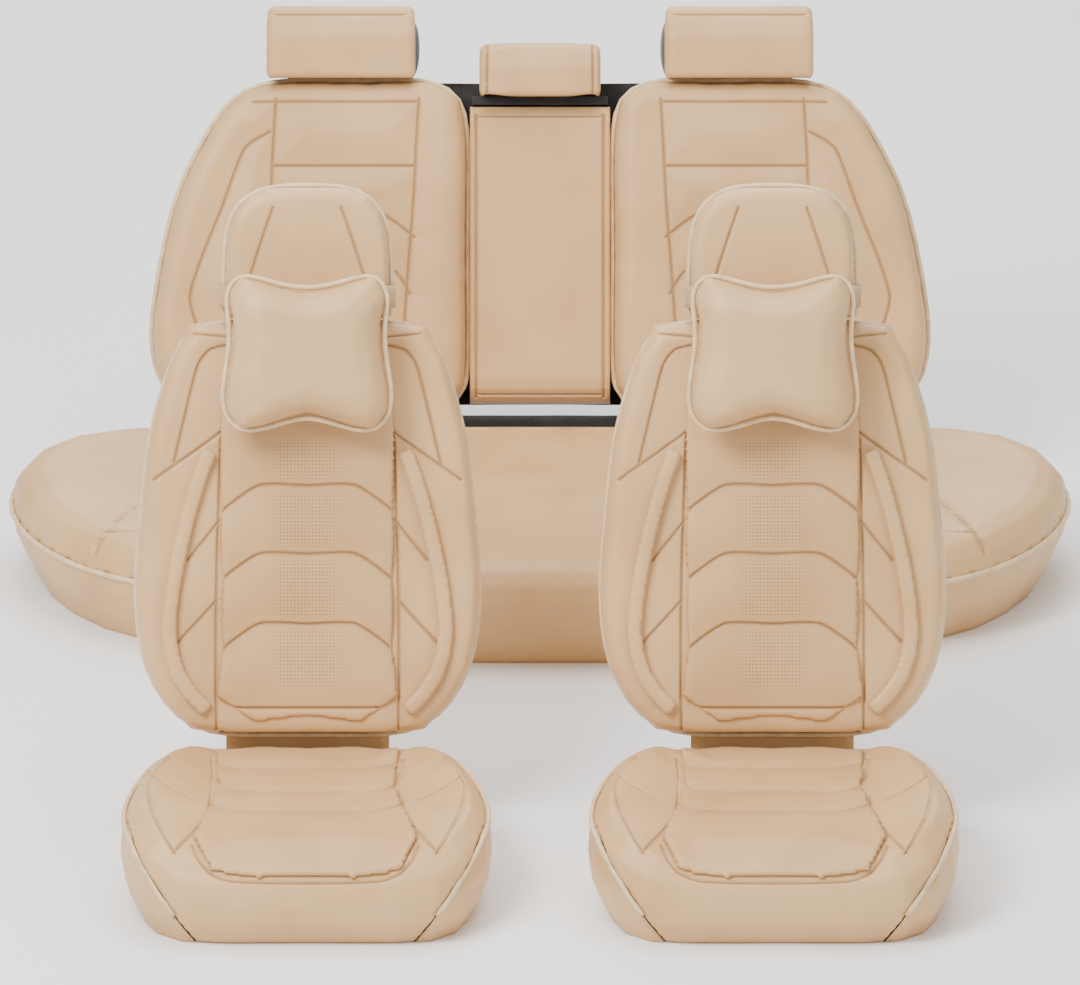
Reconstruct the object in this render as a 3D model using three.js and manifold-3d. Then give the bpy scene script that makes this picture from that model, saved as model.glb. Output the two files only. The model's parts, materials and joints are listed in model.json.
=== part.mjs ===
// Five-seat cover set in padded leatherette: two front bucket seat covers with arched headrest
// covers and neck pillows, one rear bench cover, two outboard rear back covers, a fold-down centre
// armrest cover and three rear headrest covers. +X is to the right, +Y to the rear, +Z up.
import * as THREE from 'three';
import Module from 'manifold-3d';

const wasm = await Module();
wasm.setup();

// ---------------------------------------------------------------- driving dimensions, millimetres

const GAP = 0.3; // between neighbouring pieces
const WALL = 6; // padded leatherette
const SHEET = 3; // unpadded backing fabric
const PAD = 6; // raised centre inserts
const CORD = 3; // piping radius
const PROUD = 2; // how far piping stands out of the seam that holds it
const CORD_SIDES = 5;

const LAYOUT = {
  frontSpacing: 638, // centre to centre of the two front seats
  benchFront: 1085, // from the front seats' front edge to the bench's
};

const CUSHION = {
  width: 508,
  depth: 446,
  seatHeight: 128,
  bolsterHeight: 146,
  bolsterInner: 112, // half width of the dished centre
  bolsterOuter: 190,
  frontDrop: 34,
  frontRoll: 130, // length of the waterfall front
  seamHeight: 122, // of the piping along the sides
  seamFoot: 150, // half width between the side seams where they reach the hem
  insertRear: 119, // half width of the insert at the back
  insertFront: 152,
  insertLength: 422,
};

const FLAP = { halfWidth: 112, leg: 50 }; // fabric hinge between cushion and back
const STRAP = { width: 25, thickness: 2, rise: 3 };
const BUCKLE = { width: 36, length: 52, thickness: 9 };

const BACK = {
  width: 474,
  height: 567,
  recline: 18, // degrees
  hingeY: 460,
  hingeZ: 150,
  bulge: 34, // how far the front panel stands forward of its piping
  boxing: 77, // depth of the side panel behind the hinge line
  mouth: 120, // half width of the opening underneath
  hemRadius: 5.5,
  insertHalf: 118,
  ribWidth: 16,
  ribHeight: 9,
  slitWidth: 170, // for the headrest's posts
  slitFront: 12,
  slitDepth: 22,
};

BACK.foot = -(BACK.hemRadius + 2 * CORD - PROUD - 2 * GAP); // lower edge: its piping rests on the hem tube
BACK.faceBack = -(BACK.hemRadius + 1.5); // where the front panel ends and its piping starts

const POCKET = { width: 330, height: 230, foot: 60, depth: 20 };

const HEADREST = { width: 230, height: 185, front: -53, rear: 56, seam: -22 };

const PILLOW = {
  lobe: 113,
  overlap: 149, // how far it hangs down over the back cover
  height: 212,
  thickness: 92,
  back: -60, // rear face
};
const PILLOW_STRAP = { width: 30, thickness: 2, rise: 33 }; // its middle above the headrest cover's foot

const BENCH = {
  halfWidth: 746,
  depth: 637,
  height: 148,
  seamHeight: 100, // of the piping
  centreHalf: 170, // half width of the plain centre waterfall panel
  hemTaper: 40,
};

const REAR = {
  lift: 2, // of the back covers' origin over the bench's crown
  recline: 20, // degrees
  innerEdge: 106, // from the centre plane to the outboard covers
  outerEdge: 546,
  height: 462,
  foot: 6,
  bulge: 40,
  boxing: 62,
  mouth: 150, // half width of the opening underneath
  flapHalf: 500, // half width of the tuck flap down behind the bench
};

const ARMREST = {
  halfWidth: 99,
  top: 435,
  front: -8,
  radius: 35, // of its rounded foot, about the pivot
  pivotH: 50, // height of the pivot above the covers' foot line
};
const CENTRE_TOP = { foot: 438, height: 12, halfWidth: 96 };
const REAR_HEADREST = { inner: 178, width: 206, height: 106, front: -48, rear: 58 };
const CENTRE_HEADREST = { width: 170, height: 80, front: -34, rear: 56 };

// ---------------------------------------------------------------- finishes

const FINISHES = {
  leather: { color: 0xdec29b, roughness: 0.45 },
  panel: { color: 0xd6b98f, roughness: 0.5 },
  piping: { color: 0xebd2a0, roughness: 0.4 },
  backing: { color: 0x1b1b1d, roughness: 0.9 },
  webbing: { color: 0x222224, roughness: 0.85 },
  buckle: { color: 0x161617, roughness: 0.4 },
};

function piece(name, geometry, finish) {
  geometry.computeVertexNormals();
  const mesh = new THREE.Mesh(geometry, new THREE.MeshStandardMaterial(FINISHES[finish]));
  mesh.name = name;
  return mesh;
}

// ---------------------------------------------------------------- outlines

/** Scales a half outline (x >= 0, counter-clockwise) and adds its mirror image. */
function mirrored(half, halfWidth, length) {
  const right = half.map(([x, y]) => [x * halfWidth, y * length]);
  const left = right.filter(([x]) => x > 0).map(([x, y]) => [-x, y]).reverse();
  return [...right, ...left];
}

/** A closed smooth loop of evenly spaced points through the given ones. */
function smooth(points, count) {
  const knots = points.map(([x, y]) => new THREE.Vector3(x, y, 0));
  const curve = new THREE.CatmullRomCurve3(knots, true, 'centripetal');
  return curve.getSpacedPoints(count).slice(0, count).map((p) => [p.x, p.y]);
}

/** Outward unit normal at each point of a counter-clockwise loop. */
function normals(loop) {
  return loop.map((p, i) => {
    const before = loop[(i + loop.length - 1) % loop.length];
    const after = loop[(i + 1) % loop.length];
    const edge = new THREE.Vector2(after[0] - before[0], after[1] - before[1]).normalize();
    return [edge.y, -edge.x];
  });
}

/** Moves a loop inwards by a distance, or outwards where it is negative. */
function inset(loop, distance) {
  const out = normals(loop);
  return loop.map(([x, y], i) => [x - out[i][0] * distance, y - out[i][1] * distance]);
}

/** Shrinks a loop towards a centre. */
function shrink(loop, factor, [cx, cy]) {
  return loop.map(([x, y]) => [cx + (x - cx) * factor, cy + (y - cy) * factor]);
}

/** Linear interpolation in a table of [key, value] rows. */
function lookUp(table, key) {
  const after = table.findIndex(([k]) => k >= key);
  if (after === 0) return table[0][1];
  if (after < 0) return table[table.length - 1][1];
  const [[k0, v0], [k1, v1]] = [table[after - 1], table[after]];
  return v0 + ((v1 - v0) * (key - k0)) / (k1 - k0);
}

// ---------------------------------------------------------------- solids

const level = (u, v, w) => new THREE.Vector3(u, v, w); // outlines in plan, layers upwards
const upright = (u, v, w) => new THREE.Vector3(u, w, v); // outlines in X-Z, layers rearwards
const sideways = (u, v, w) => new THREE.Vector3(w, u, v); // outlines in Y-Z, layers to the right

/** Joins rings of points into one closed body: a ring of rings, or a stack with two flat ends. */
function skin(rings, capFaces) {
  const count = rings[0].length;
  const steps = capFaces ? rings.length - 1 : rings.length;
  const faces = [];
  for (let r = 0; r < steps; r += 1) {
    const next = (r + 1) % rings.length;
    for (let i = 0; i < count; i += 1) {
      const j = (i + 1) % count;
      const [a, b, c, d] = [r * count + i, r * count + j, next * count + j, next * count + i];
      faces.push([a, b, c], [a, c, d]);
    }
  }
  if (capFaces) {
    const top = (rings.length - 1) * count;
    capFaces[0].forEach(([a, b, c]) => faces.push([c, b, a]));
    capFaces[1].forEach(([a, b, c]) => faces.push([top + a, top + b, top + c]));
  }
  return closed(rings.flat(), faces);
}

/** A geometry with its faces turned outwards. */
function closed(points, faces) {
  const volume = faces.reduce((sum, [a, b, c]) => {
    const cross = new THREE.Vector3().crossVectors(points[b], points[c]);
    return sum + points[a].dot(cross);
  }, 0);
  const turned = volume < 0 ? faces.map(([a, b, c]) => [a, c, b]) : faces;
  const geometry = new THREE.BufferGeometry();
  geometry.setAttribute('position', new THREE.Float32BufferAttribute(points.flatMap((p) => p.toArray()), 3));
  geometry.setIndex(turned.flat());
  return geometry;
}

/** Stacks layers of one outline, each { loop, at }, where at is a height or a function of u, v. */
function stack(layers, place) {
  const flat = (loop) => loop.map(([x, y]) => new THREE.Vector2(x, y));
  const clockwise = THREE.ShapeUtils.area(flat(layers[0].loop)) < 0;
  const turned = layers.map(({ loop, at }) => ({ loop: clockwise ? [...loop].reverse() : loop, at }));
  const ends = [turned[0], turned[turned.length - 1]];
  const caps = ends.map(({ loop }) => THREE.ShapeUtils.triangulateShape(flat(loop), []));
  const rings = turned.map(({ loop, at }) =>
    loop.map(([u, v]) => place(u, v, typeof at === 'function' ? at(u, v) : at)));
  return skin(rings, caps);
}

/** A slab of one outline between two depths. */
function slab(loop, from, to, place) {
  return stack([{ loop, at: from }, { loop, at: to }], place);
}

function box(low, high) {
  const geometry = new THREE.BoxGeometry(...high.map((value, k) => value - low[k]));
  geometry.translate(...high.map((value, k) => (value + low[k]) / 2));
  return welded(geometry);
}

/** Position-only copy of a geometry with its shared corners merged. */
function welded(geometry) {
  const source = geometry.attributes.position;
  const points = [];
  const seen = new Map();
  const corner = (i) => {
    const at = new THREE.Vector3().fromBufferAttribute(source, i);
    const key = at.toArray().map((value) => value.toFixed(4)).join();
    if (!seen.has(key)) seen.set(key, points.push(at) - 1);
    return seen.get(key);
  };
  const order = Array.from(geometry.index.array, corner);
  const faces = [];
  for (let i = 0; i < order.length; i += 3) faces.push(order.slice(i, i + 3));
  return closed(points, faces);
}

/** A cord of round section along points; axis is a direction that the path never follows. */
function cord(points, axis, loops) {
  const rings = points.map((at, i) => {
    const before = points[loops ? (i + points.length - 1) % points.length : Math.max(i - 1, 0)];
    const after = points[loops ? (i + 1) % points.length : Math.min(i + 1, points.length - 1)];
    const along = new THREE.Vector3().subVectors(after, before).normalize();
    const side = new THREE.Vector3().crossVectors(along, axis).normalize();
    const up = new THREE.Vector3().crossVectors(side, along);
    return Array.from({ length: CORD_SIDES }, (_, k) => {
      const angle = (2 * Math.PI * (k + 0.5)) / CORD_SIDES;
      return at.clone().addScaledVector(side, CORD * Math.cos(angle))
        .addScaledVector(up, CORD * Math.sin(angle));
    });
  });
  const fan = Array.from({ length: CORD_SIDES - 2 }, (_, k) => [0, k + 1, k + 2]);
  return skin(rings, loops ? null : [fan, fan]);
}

/** A flat band along an open or closed path of [u, v] points, between two depths. */
function band(path, thickness, from, to, place, loops) {
  const out = loops ? normals(path) : openNormals(path);
  const rings = path.map(([u, v], i) => {
    const [nu, nv] = out[i];
    return [[0, from], [thickness, from], [thickness, to], [0, to]]
      .map(([off, w]) => place(u + nu * off, v + nv * off, w));
  });
  const fan = [[0, 1, 2], [0, 2, 3]];
  return skin(rings, loops ? null : [fan, fan]);
}

/** Outward unit normals of an open path that runs counter-clockwise. */
function openNormals(path) {
  return path.map((p, i) => {
    const before = path[Math.max(i - 1, 0)];
    const after = path[Math.min(i + 1, path.length - 1)];
    const edge = new THREE.Vector2(after[0] - before[0], after[1] - before[1]).normalize();
    return [edge.y, -edge.x];
  });
}

const Y_AXIS = new THREE.Vector3(0, 1, 0);
const Z_AXIS = new THREE.Vector3(0, 0, 1);

// ---------------------------------------------------------------- cutting and joining

function solid(geometry) {
  return new wasm.Manifold(new wasm.Mesh({
    numProp: 3,
    vertProperties: new Float32Array(geometry.attributes.position.array),
    triVerts: new Uint32Array(geometry.index.array),
  }));
}

function geometryOf(manifold) {
  const { vertProperties, triVerts } = manifold.getMesh();
  const geometry = new THREE.BufferGeometry();
  geometry.setAttribute('position', new THREE.BufferAttribute(new Float32Array(vertProperties), 3));
  geometry.setIndex(new THREE.BufferAttribute(new Uint32Array(triVerts), 1));
  return geometry;
}

/** The largest body of a cut solid, without any slivers that the cut leaves. */
function largest(manifold) {
  return manifold.decompose().reduce((a, b) => (b.volume() > a.volume() ? b : a));
}

/** A piece trimmed so that it stays outside a body. */
function clearOf(geometry, body) {
  return geometryOf(solid(geometry).subtract(body));
}

/** The part of an outer body that lies inside a prism, raised off a base by a gap as a pad. */
function padOn(base, prism, direction, thickness) {
  const shifted = (distance) => base.translate(direction.map((value) => value * distance));
  return prism.intersect(shifted(GAP + thickness)).subtract(shifted(GAP));
}

// ---------------------------------------------------------------- front cushion cover

const CUSHION_PLAN = [[0, 0], [0.58, 0.004], [0.77, 0.04], [0.91, 0.135], [0.977, 0.27], [1, 0.4],
  [0.977, 0.58], [0.91, 0.76], [0.82, 0.92], [0.77, 0.985], [0.7, 1], [0, 1]];
const CUSHION_EDGE = [[0, 26], [42, 6], [84, 0], [112, 3], [126, 9]]; // height, inset of the wall

/** How far the front roll drops at a distance from the front edge. */
function frontDrop(y) {
  return CUSHION.frontDrop * Math.max(0, 1 - Math.max(y, 0) / CUSHION.frontRoll) ** 2;
}

/** Height of the seat surface: dished between the bolsters, with a rolled front. */
function seatSurface(x, y) {
  const rise = THREE.MathUtils.smoothstep(Math.abs(x), CUSHION.bolsterInner, CUSHION.bolsterOuter);
  return THREE.MathUtils.lerp(CUSHION.seatHeight, CUSHION.bolsterHeight, rise) - frontDrop(y);
}

/** The filled cushion, its surface moved inwards by a wall and its foot moved down. */
function cushionBody(wall, foot) {
  const plan = smooth(mirrored(CUSHION_PLAN, CUSHION.width / 2, CUSHION.depth), 28);
  const middle = [0, CUSHION.depth / 2];
  const rolled = (height) => (u, v) => height * (1 - frontDrop(v) / CUSHION.seatHeight);
  const scale = CUSHION.seatHeight / 128;
  const sides = CUSHION_EDGE.map(([height, step], k) => ({
    loop: inset(plan, step + wall),
    at: k === 0 ? 0 : rolled(height * scale - wall * 0.5),
  }));
  const hem = foot < 0 ? [{ loop: sides[0].loop, at: foot }] : [];
  const top = [0.88, 0.62, 0.3].map((factor) => ({
    loop: shrink(inset(plan, wall), factor, middle),
    at: (u, v) => seatSurface(u, v) - wall,
  }));
  return solid(stack([...hem, ...sides, ...top], level));
}

/** Everything outboard of the side seams and behind the rear seam, grown by a margin. */
function skirtZone(margin) {
  const seam = CUSHION.seamHeight + margin;
  const foot = CUSHION.seamFoot - margin;
  const far = CUSHION.width;
  const line = [[foot, -20], [foot, 0], [foot + 40, seam * 0.5], [foot + 76, seam * 0.85],
    [foot + 88, seam], [far, seam], [far, -20]];
  const right = solid(slab(line, -20, CUSHION.depth + 20, upright));
  const rear = solid(box([-far, CUSHION.depth - 45 - margin, -20], [far, CUSHION.depth + 20, seam]));
  return right.add(right.mirror([1, 0, 0])).add(rear);
}

/** Height of the side seam at a point of the plan outline. */
function seamHeightAt(x, y) {
  if (y > CUSHION.depth / 2) return CUSHION.seamHeight;
  const foot = CUSHION.seamFoot;
  const rise = [[foot, CORD + 1], [foot + 40, 0.5 * CUSHION.seamHeight],
    [foot + 76, 0.85 * CUSHION.seamHeight], [foot + 88, CUSHION.seamHeight]];
  return lookUp(rise, Math.abs(x));
}

function cushionCord() {
  const plan = smooth(mirrored(CUSHION_PLAN, CUSHION.width / 2, CUSHION.depth), 28);
  const out = normals(plan);
  const stations = plan.map(([x, y], i) => {
    const z = seamHeightAt(x, y);
    const unrolled = z / (1 - frontDrop(y) / CUSHION.seatHeight);
    const step = lookUp(CUSHION_EDGE, (unrolled * 128) / CUSHION.seatHeight) - CORD - 3 * GAP;
    return new THREE.Vector3(x - out[i][0] * step, y - out[i][1] * step, z);
  });
  const path = stations.filter((p) => Math.abs(p.x) > CUSHION.seamFoot || p.y > CUSHION.depth / 2);
  return clearOf(cord(path, Z_AXIS, false), cushionBody(-GAP, 0));
}

function frontCushion(side) {
  const group = new THREE.Group();
  const body = cushionBody(0, 0);
  const shell = body.subtract(cushionBody(WALL, -20));
  const insertPlan = [[0, 12], [96, 12], [134, 24], [CUSHION.insertFront, 62], [130, 190],
    [CUSHION.insertRear, 300], [CUSHION.insertRear, CUSHION.insertLength], [0, CUSHION.insertLength]];
  const insertPrism = solid(slab(smooth(mirrored(insertPlan, 1, 1), 20), 0, 300, level));
  const insert = padOn(body, insertPrism, [0, 0, 1], PAD);
  group.add(piece(`${side}_cushion_top`, geometryOf(largest(shell.subtract(skirtZone(GAP)))), 'leather'));
  group.add(piece(`${side}_cushion_skirt`, geometryOf(largest(shell.intersect(skirtZone(0)))), 'leather'));
  group.add(piece(`${side}_cushion_insert`, geometryOf(insert), 'panel'));
  group.add(piece(`${side}_cushion_piping`, cushionCord(), 'piping'));
  group.add(...cushionStraps(side), tuckFlap(side));
  return group;
}

/** Webbing under the cushion in two lengths, joined by a side-release buckle. */
function cushionStraps(side) {
  const hem = lookUp(CUSHION_EDGE, STRAP.rise) + WALL + 2 * GAP;
  const [front, rear] = [hem, CUSHION.depth - hem];
  const middle = (front + rear) / 2;
  const top = STRAP.rise + STRAP.thickness;
  const strap = (from, to) => box([-STRAP.width / 2, from, STRAP.rise], [STRAP.width / 2, to, top]);
  const buckleFront = middle - BUCKLE.length / 2;
  const buckleRear = middle + BUCKLE.length / 2;
  const outline = [[-BUCKLE.width / 2, buckleFront], [BUCKLE.width / 2, buckleFront],
    [BUCKLE.width / 2, buckleRear - 14], [BUCKLE.width / 2 - 8, buckleRear],
    [8 - BUCKLE.width / 2, buckleRear], [-BUCKLE.width / 2, buckleRear - 14]];
  const buckle = slab(outline, 1, 1 + BUCKLE.thickness, level);
  return [
    piece(`${side}_strap_front`, strap(front, buckleFront - GAP), 'webbing'),
    piece(`${side}_strap_rear`, strap(buckleRear + GAP, rear), 'webbing'),
    piece(`${side}_strap_buckle`, buckle, 'buckle'),
  ];
}

/** The fabric hinge from the cushion's rear wall up to the hem tube of the back cover. */
function tuckFlap(side) {
  const [y0, y1] = [CUSHION.depth + GAP, BACK.hingeY + 1];
  const high = BACK.hingeZ - BACK.hemRadius - GAP;
  const low = BACK.hingeZ - FLAP.leg;
  const profile = [[y0, low], [y1 + 2, low], [y1 + 2, high], [y1, high], [y1, low + 2], [y0, low + 2]];
  return piece(`${side}_tuck_flap`, slab(profile, -FLAP.halfWidth, FLAP.halfWidth, sideways), 'backing');
}

// ---------------------------------------------------------------- front back cover

const BACK_OUTLINE = [[0, 0], [0.5, 0], [0.66, 0.012], [0.81, 0.065], [0.92, 0.135], [0.98, 0.23],
  [1, 0.34], [0.99, 0.44], [0.965, 0.54], [0.92, 0.72], [0.85, 0.83], [0.77, 0.935], [0.7, 0.985],
  [0.58, 1], [0, 1]];

function backLoop() {
  const points = mirrored(BACK_OUTLINE, BACK.width / 2, BACK.height);
  return smooth(points.map(([x, h]) => [x, h + BACK.foot]), 34);
}

/** The filled back between two depths, moved inwards by a wall. */
function backBody(wall, rear) {
  const loop = backLoop();
  const steps = [[1, 22], [0.9, 10], [0.6, 3], [0, 0]];
  const front = steps.map(([share, step]) => ({
    loop: inset(loop, step + wall),
    at: BACK.faceBack - BACK.bulge * share + wall,
  }));
  return solid(stack([...front, { loop: inset(loop, wall), at: rear }], upright));
}

function between(body, from, to) {
  return body.intersect(solid(box([-1000, from, -1000], [1000, to, 2000])));
}

function frontBack(side) {
  const group = new THREE.Group();
  const mouth = box([-BACK.mouth, BACK.faceBack - 22, BACK.foot - 40],
    [BACK.mouth, BACK.boxing + 20, BACK.foot + 2 * WALL]);
  const inner = backBody(WALL, BACK.boxing + 20).add(solid(mouth));
  const shell = backBody(0, BACK.boxing).subtract(inner);
  const top = BACK.foot + BACK.height;
  const slit = solid(box([-BACK.slitWidth / 2, BACK.slitFront, top - 30],
    [BACK.slitWidth / 2, BACK.slitFront + BACK.slitDepth, top + 20]));
  const boxingStart = BACK.faceBack + 2 * (CORD + GAP);
  const cordPath = inset(backLoop(), CORD - PROUD)
    .map(([x, h]) => upright(x, h, BACK.faceBack + CORD + GAP));
  const hem = new THREE.CylinderGeometry(BACK.hemRadius, BACK.hemRadius, 2 * FLAP.halfWidth, 12);
  hem.rotateZ(Math.PI / 2);
  group.add(
    piece(`${side}_back_face`, geometryOf(between(shell, -200, BACK.faceBack)), 'leather'),
    piece(`${side}_back_piping`, cord(cordPath, Y_AXIS, true), 'piping'),
    piece(`${side}_back_side_panel`, geometryOf(between(shell, boxingStart, 200).subtract(slit)), 'leather'),
    piece(`${side}_back_rear_panel`,
      slab(backLoop(), BACK.boxing + GAP, BACK.boxing + GAP + SHEET, upright), 'leather'),
    piece(`${side}_back_hem_tube`, welded(hem), 'webbing'),
    piece(`${side}_back_insert`, backInsert(), 'panel'),
    piece(`${side}_back_rib_left`, backRib(-1), 'leather'),
    piece(`${side}_back_rib_right`, backRib(1), 'leather'),
    piece(`${side}_map_pocket`, mapPocket(), 'leather'),
  );
  return group;
}

/** Quilted centre panel on the flat of the front face. */
function backInsert() {
  const face = BACK.faceBack - BACK.bulge - GAP;
  const [half, foot, top] = [BACK.insertHalf, BACK.foot + 26, BACK.foot + BACK.height - 26];
  const outline = [[0, foot], [half, foot], [half, foot + 90], [half, top - 90], [half - 14, top], [0, top]];
  const loop = smooth(mirrored(outline, 1, 1), 20);
  return stack([{ loop, at: face }, { loop: inset(loop, 4), at: face - PAD }], upright);
}

/** A D-shaped padded rib along one side bolster. */
function backRib(sign) {
  const face = BACK.faceBack - BACK.bulge - GAP;
  const reach = BACK.width / 2 - 40;
  const knots = [[BACK.insertHalf + 26, 22], [reach - 18, 62], [reach, 120], [reach - 4, 190],
    [reach - 22, 280], [reach - 42, 350], [BACK.insertHalf + 24, 384]]
    .map(([x, h]) => new THREE.Vector3(x, h, 0));
  const path = new THREE.CatmullRomCurve3(knots, false, 'centripetal').getSpacedPoints(12)
    .map((p) => [p.x, p.y]);
  const rib = band(path, -BACK.ribWidth, face - BACK.ribHeight, face, upright, false);
  return sign > 0 ? rib : geometryOf(solid(rib).mirror([1, 0, 0]));
}

/** An open-topped pocket on the rear panel. */
function mapPocket() {
  const near = BACK.boxing + 2 * GAP + SHEET;
  const [half, top] = [POCKET.width / 2, POCKET.foot + POCKET.height];
  const outer = box([-half, near, POCKET.foot], [half, near + POCKET.depth + SHEET, top]);
  const inner = box([SHEET - half, near - 10, POCKET.foot + SHEET],
    [half - SHEET, near + POCKET.depth, top + 20]);
  return geometryOf(solid(outer).subtract(solid(inner)));
}

// ---------------------------------------------------------------- front headrest cover

const ARCH = [[0, 0], [0.9, 0], [1, 0.04], [1, 0.3], [0.99, 0.57], [0.94, 0.74], [0.82, 0.88],
  [0.6, 0.965], [0.3, 1], [0, 1]];

/** Lower edge of the headrest cover, just clear of the back cover's piping. */
function headrestFoot() {
  return BACK.foot + BACK.height + PROUD + 5.5 * GAP;
}

function frontHeadrest(side) {
  const group = new THREE.Group();
  const foot = headrestFoot();
  const loop = smooth(mirrored(ARCH, HEADREST.width / 2, HEADREST.height).map(([x, h]) => [x, h + foot]), 26);
  const below = solid(box([-200, -200, foot - 100], [200, 200, foot]));
  const outer = solid(stack([
    { loop: inset(loop, 18), at: HEADREST.front },
    { loop: inset(loop, 8), at: HEADREST.front + 4 },
    { loop, at: HEADREST.seam },
    { loop, at: HEADREST.rear - 12 },
    { loop: inset(loop, 10), at: HEADREST.rear },
  ], upright));
  const hollow = solid(stack([
    { loop: inset(loop, 18 + WALL), at: HEADREST.front + WALL },
    { loop: inset(loop, WALL), at: HEADREST.seam },
    { loop: inset(loop, WALL), at: HEADREST.rear - 12 },
    { loop: inset(loop, 10 + WALL), at: HEADREST.rear - WALL },
  ], upright));
  const mouthHalf = HEADREST.width / 2 - 3 * WALL;
  const mouth = box([-mouthHalf, HEADREST.front + 3 * WALL, foot - 20],
    [mouthHalf, HEADREST.rear - 3 * WALL, foot + 3 * WALL]);
  const hood = outer.subtract(hollow.add(solid(mouth))).subtract(below);
  const half = CORD + GAP;
  const ring = cord(inset(loop, CORD - PROUD).map(([x, h]) => upright(x, h, HEADREST.seam)), Y_AXIS, true);
  group.add(
    piece(`${side}_headrest_front`, geometryOf(between(hood, -200, HEADREST.seam - half)), 'leather'),
    piece(`${side}_headrest_piping`, clearOf(ring, below.translate([0, 0, 2 * CORD])), 'piping'),
    piece(`${side}_headrest_shell`, geometryOf(between(hood, HEADREST.seam + half, 200)), 'leather'),
  );
  return group;
}

// ---------------------------------------------------------------- neck pillow

const BONE = [[0, 0.11], [0.45, 0.04], [0.8, 0], [0.97, 0.08], [1, 0.22], [0.94, 0.42], [0.9, 0.6],
  [0.93, 0.8], [0.97, 0.92], [0.85, 1], [0.6, 0.97], [0.3, 0.92], [0, 0.9]];

function neckPillow(side) {
  const group = new THREE.Group();
  const foot = headrestFoot() - PILLOW.overlap;
  const loop = smooth(mirrored(BONE, PILLOW.lobe, PILLOW.height).map(([x, h]) => [x, h + foot]), 26);
  const middle = [0, foot + PILLOW.height / 2];
  const rounding = [[0, 0.62], [0.1, 0.83], [0.27, 0.95], [0.5, 1], [0.73, 0.95], [0.9, 0.83], [1, 0.62]];
  const layers = rounding.map(([share, factor]) => ({
    loop: shrink(loop, factor, middle), at: PILLOW.back - PILLOW.thickness * share,
  }));
  const cordPath = inset(loop, -CORD - 2 * GAP)
    .map(([x, h]) => upright(x, h, PILLOW.back - PILLOW.thickness / 2));
  group.add(
    piece(`${side}_pillow`, stack(layers, upright), 'leather'),
    piece(`${side}_pillow_piping`, cord(cordPath, Y_AXIS, true), 'piping'),
    piece(`${side}_pillow_strap`, pillowStrap(), 'webbing'),
  );
  return group;
}

/** Elastic from one side of the pillow's back, round the headrest cover, to the other side. */
function pillowStrap() {
  const reach = HEADREST.width / 2 + PROUD + 7 * GAP;
  const [near, far] = [PILLOW.back + PILLOW_STRAP.thickness + 2 * GAP, HEADREST.rear + GAP];
  const half = [[36, near], [reach - 8, near], [reach, near + 8], [reach, far - 8], [reach - 8, far]];
  const left = half.map(([x, d]) => [-x, d]).reverse();
  const low = headrestFoot() + PILLOW_STRAP.rise - PILLOW_STRAP.width / 2;
  return band([...half, ...left], PILLOW_STRAP.thickness, low, low + PILLOW_STRAP.width, level, false);
}

// ---------------------------------------------------------------- rear bench cover

const BENCH_PLAN = [[0, 0], [0.23, 0.005], [0.54, 0.06], [0.77, 0.155], [0.83, 0.205], [0.9, 0.3],
  [0.965, 0.45], [0.99, 0.57], [1, 0.67], [0.98, 0.79], [0.925, 0.9], [0.84, 0.97], [0.74, 0.997],
  [0.66, 1], [0.4, 1], [0, 1]];
const BENCH_EDGE = [[0, 1], [0.25, 0.5], [0.5, 0.1], [0.67, 0]]; // share of height, share of taper
const BENCH_CROWN = [[0.84, 8], [0.95, 22], [1, 46]]; // share of height, inset

function benchLoop() {
  const points = mirrored(BENCH_PLAN, BENCH.halfWidth, BENCH.depth);
  return smooth(points.map(([x, y]) => [x, y + LAYOUT.benchFront]), 44);
}

/** The side profile: rows of a share of the height and an inset. */
function benchEdge() {
  return [...BENCH_EDGE.map(([share, taper]) => [share, taper * BENCH.hemTaper]), ...BENCH_CROWN];
}

function benchBody(wall, foot) {
  const loop = benchLoop();
  const layers = benchEdge().map(([share, step], k) => ({
    loop: inset(loop, step + wall),
    at: k === 0 ? 0 : share * BENCH.height - wall,
  }));
  const hem = foot < 0 ? [{ loop: layers[0].loop, at: foot }] : [];
  return solid(stack([...hem, ...layers], level));
}

/** Everything under the bench's piping, except its plain centre front, grown by a margin. */
function benchSkirtZone(margin) {
  const seam = BENCH.seamHeight + margin;
  const inner = BENCH.centreHalf - margin;
  const [near, far] = [LAYOUT.benchFront - 50, LAYOUT.benchFront + BENCH.depth + 50];
  const right = solid(box([inner, near, -20], [BENCH.halfWidth + 50, far, seam]));
  const rear = solid(box([-BENCH.halfWidth, far - 110 - margin, -20], [BENCH.halfWidth, far, seam]));
  return right.add(right.mirror([1, 0, 0])).add(rear);
}

function bench() {
  const shell = benchBody(0, 0).subtract(benchBody(WALL, -20));
  const step = lookUp(benchEdge(), BENCH.seamHeight / BENCH.height) - CORD - 2 * GAP;
  const path = inset(benchLoop(), step).map(([x, y]) => level(x, y, BENCH.seamHeight));
  const middle = LAYOUT.benchFront + BENCH.depth / 2;
  const ends = path.filter((p) => p.y > middle || Math.abs(p.x) > BENCH.centreHalf);
  return [
    piece('bench_top', geometryOf(shell.subtract(benchSkirtZone(GAP))), 'leather'),
    piece('bench_skirt', geometryOf(shell.intersect(benchSkirtZone(0))), 'leather'),
    piece('bench_piping', cord(ends, Z_AXIS, false), 'piping'),
  ];
}

// ---------------------------------------------------------------- rear back covers

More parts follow.
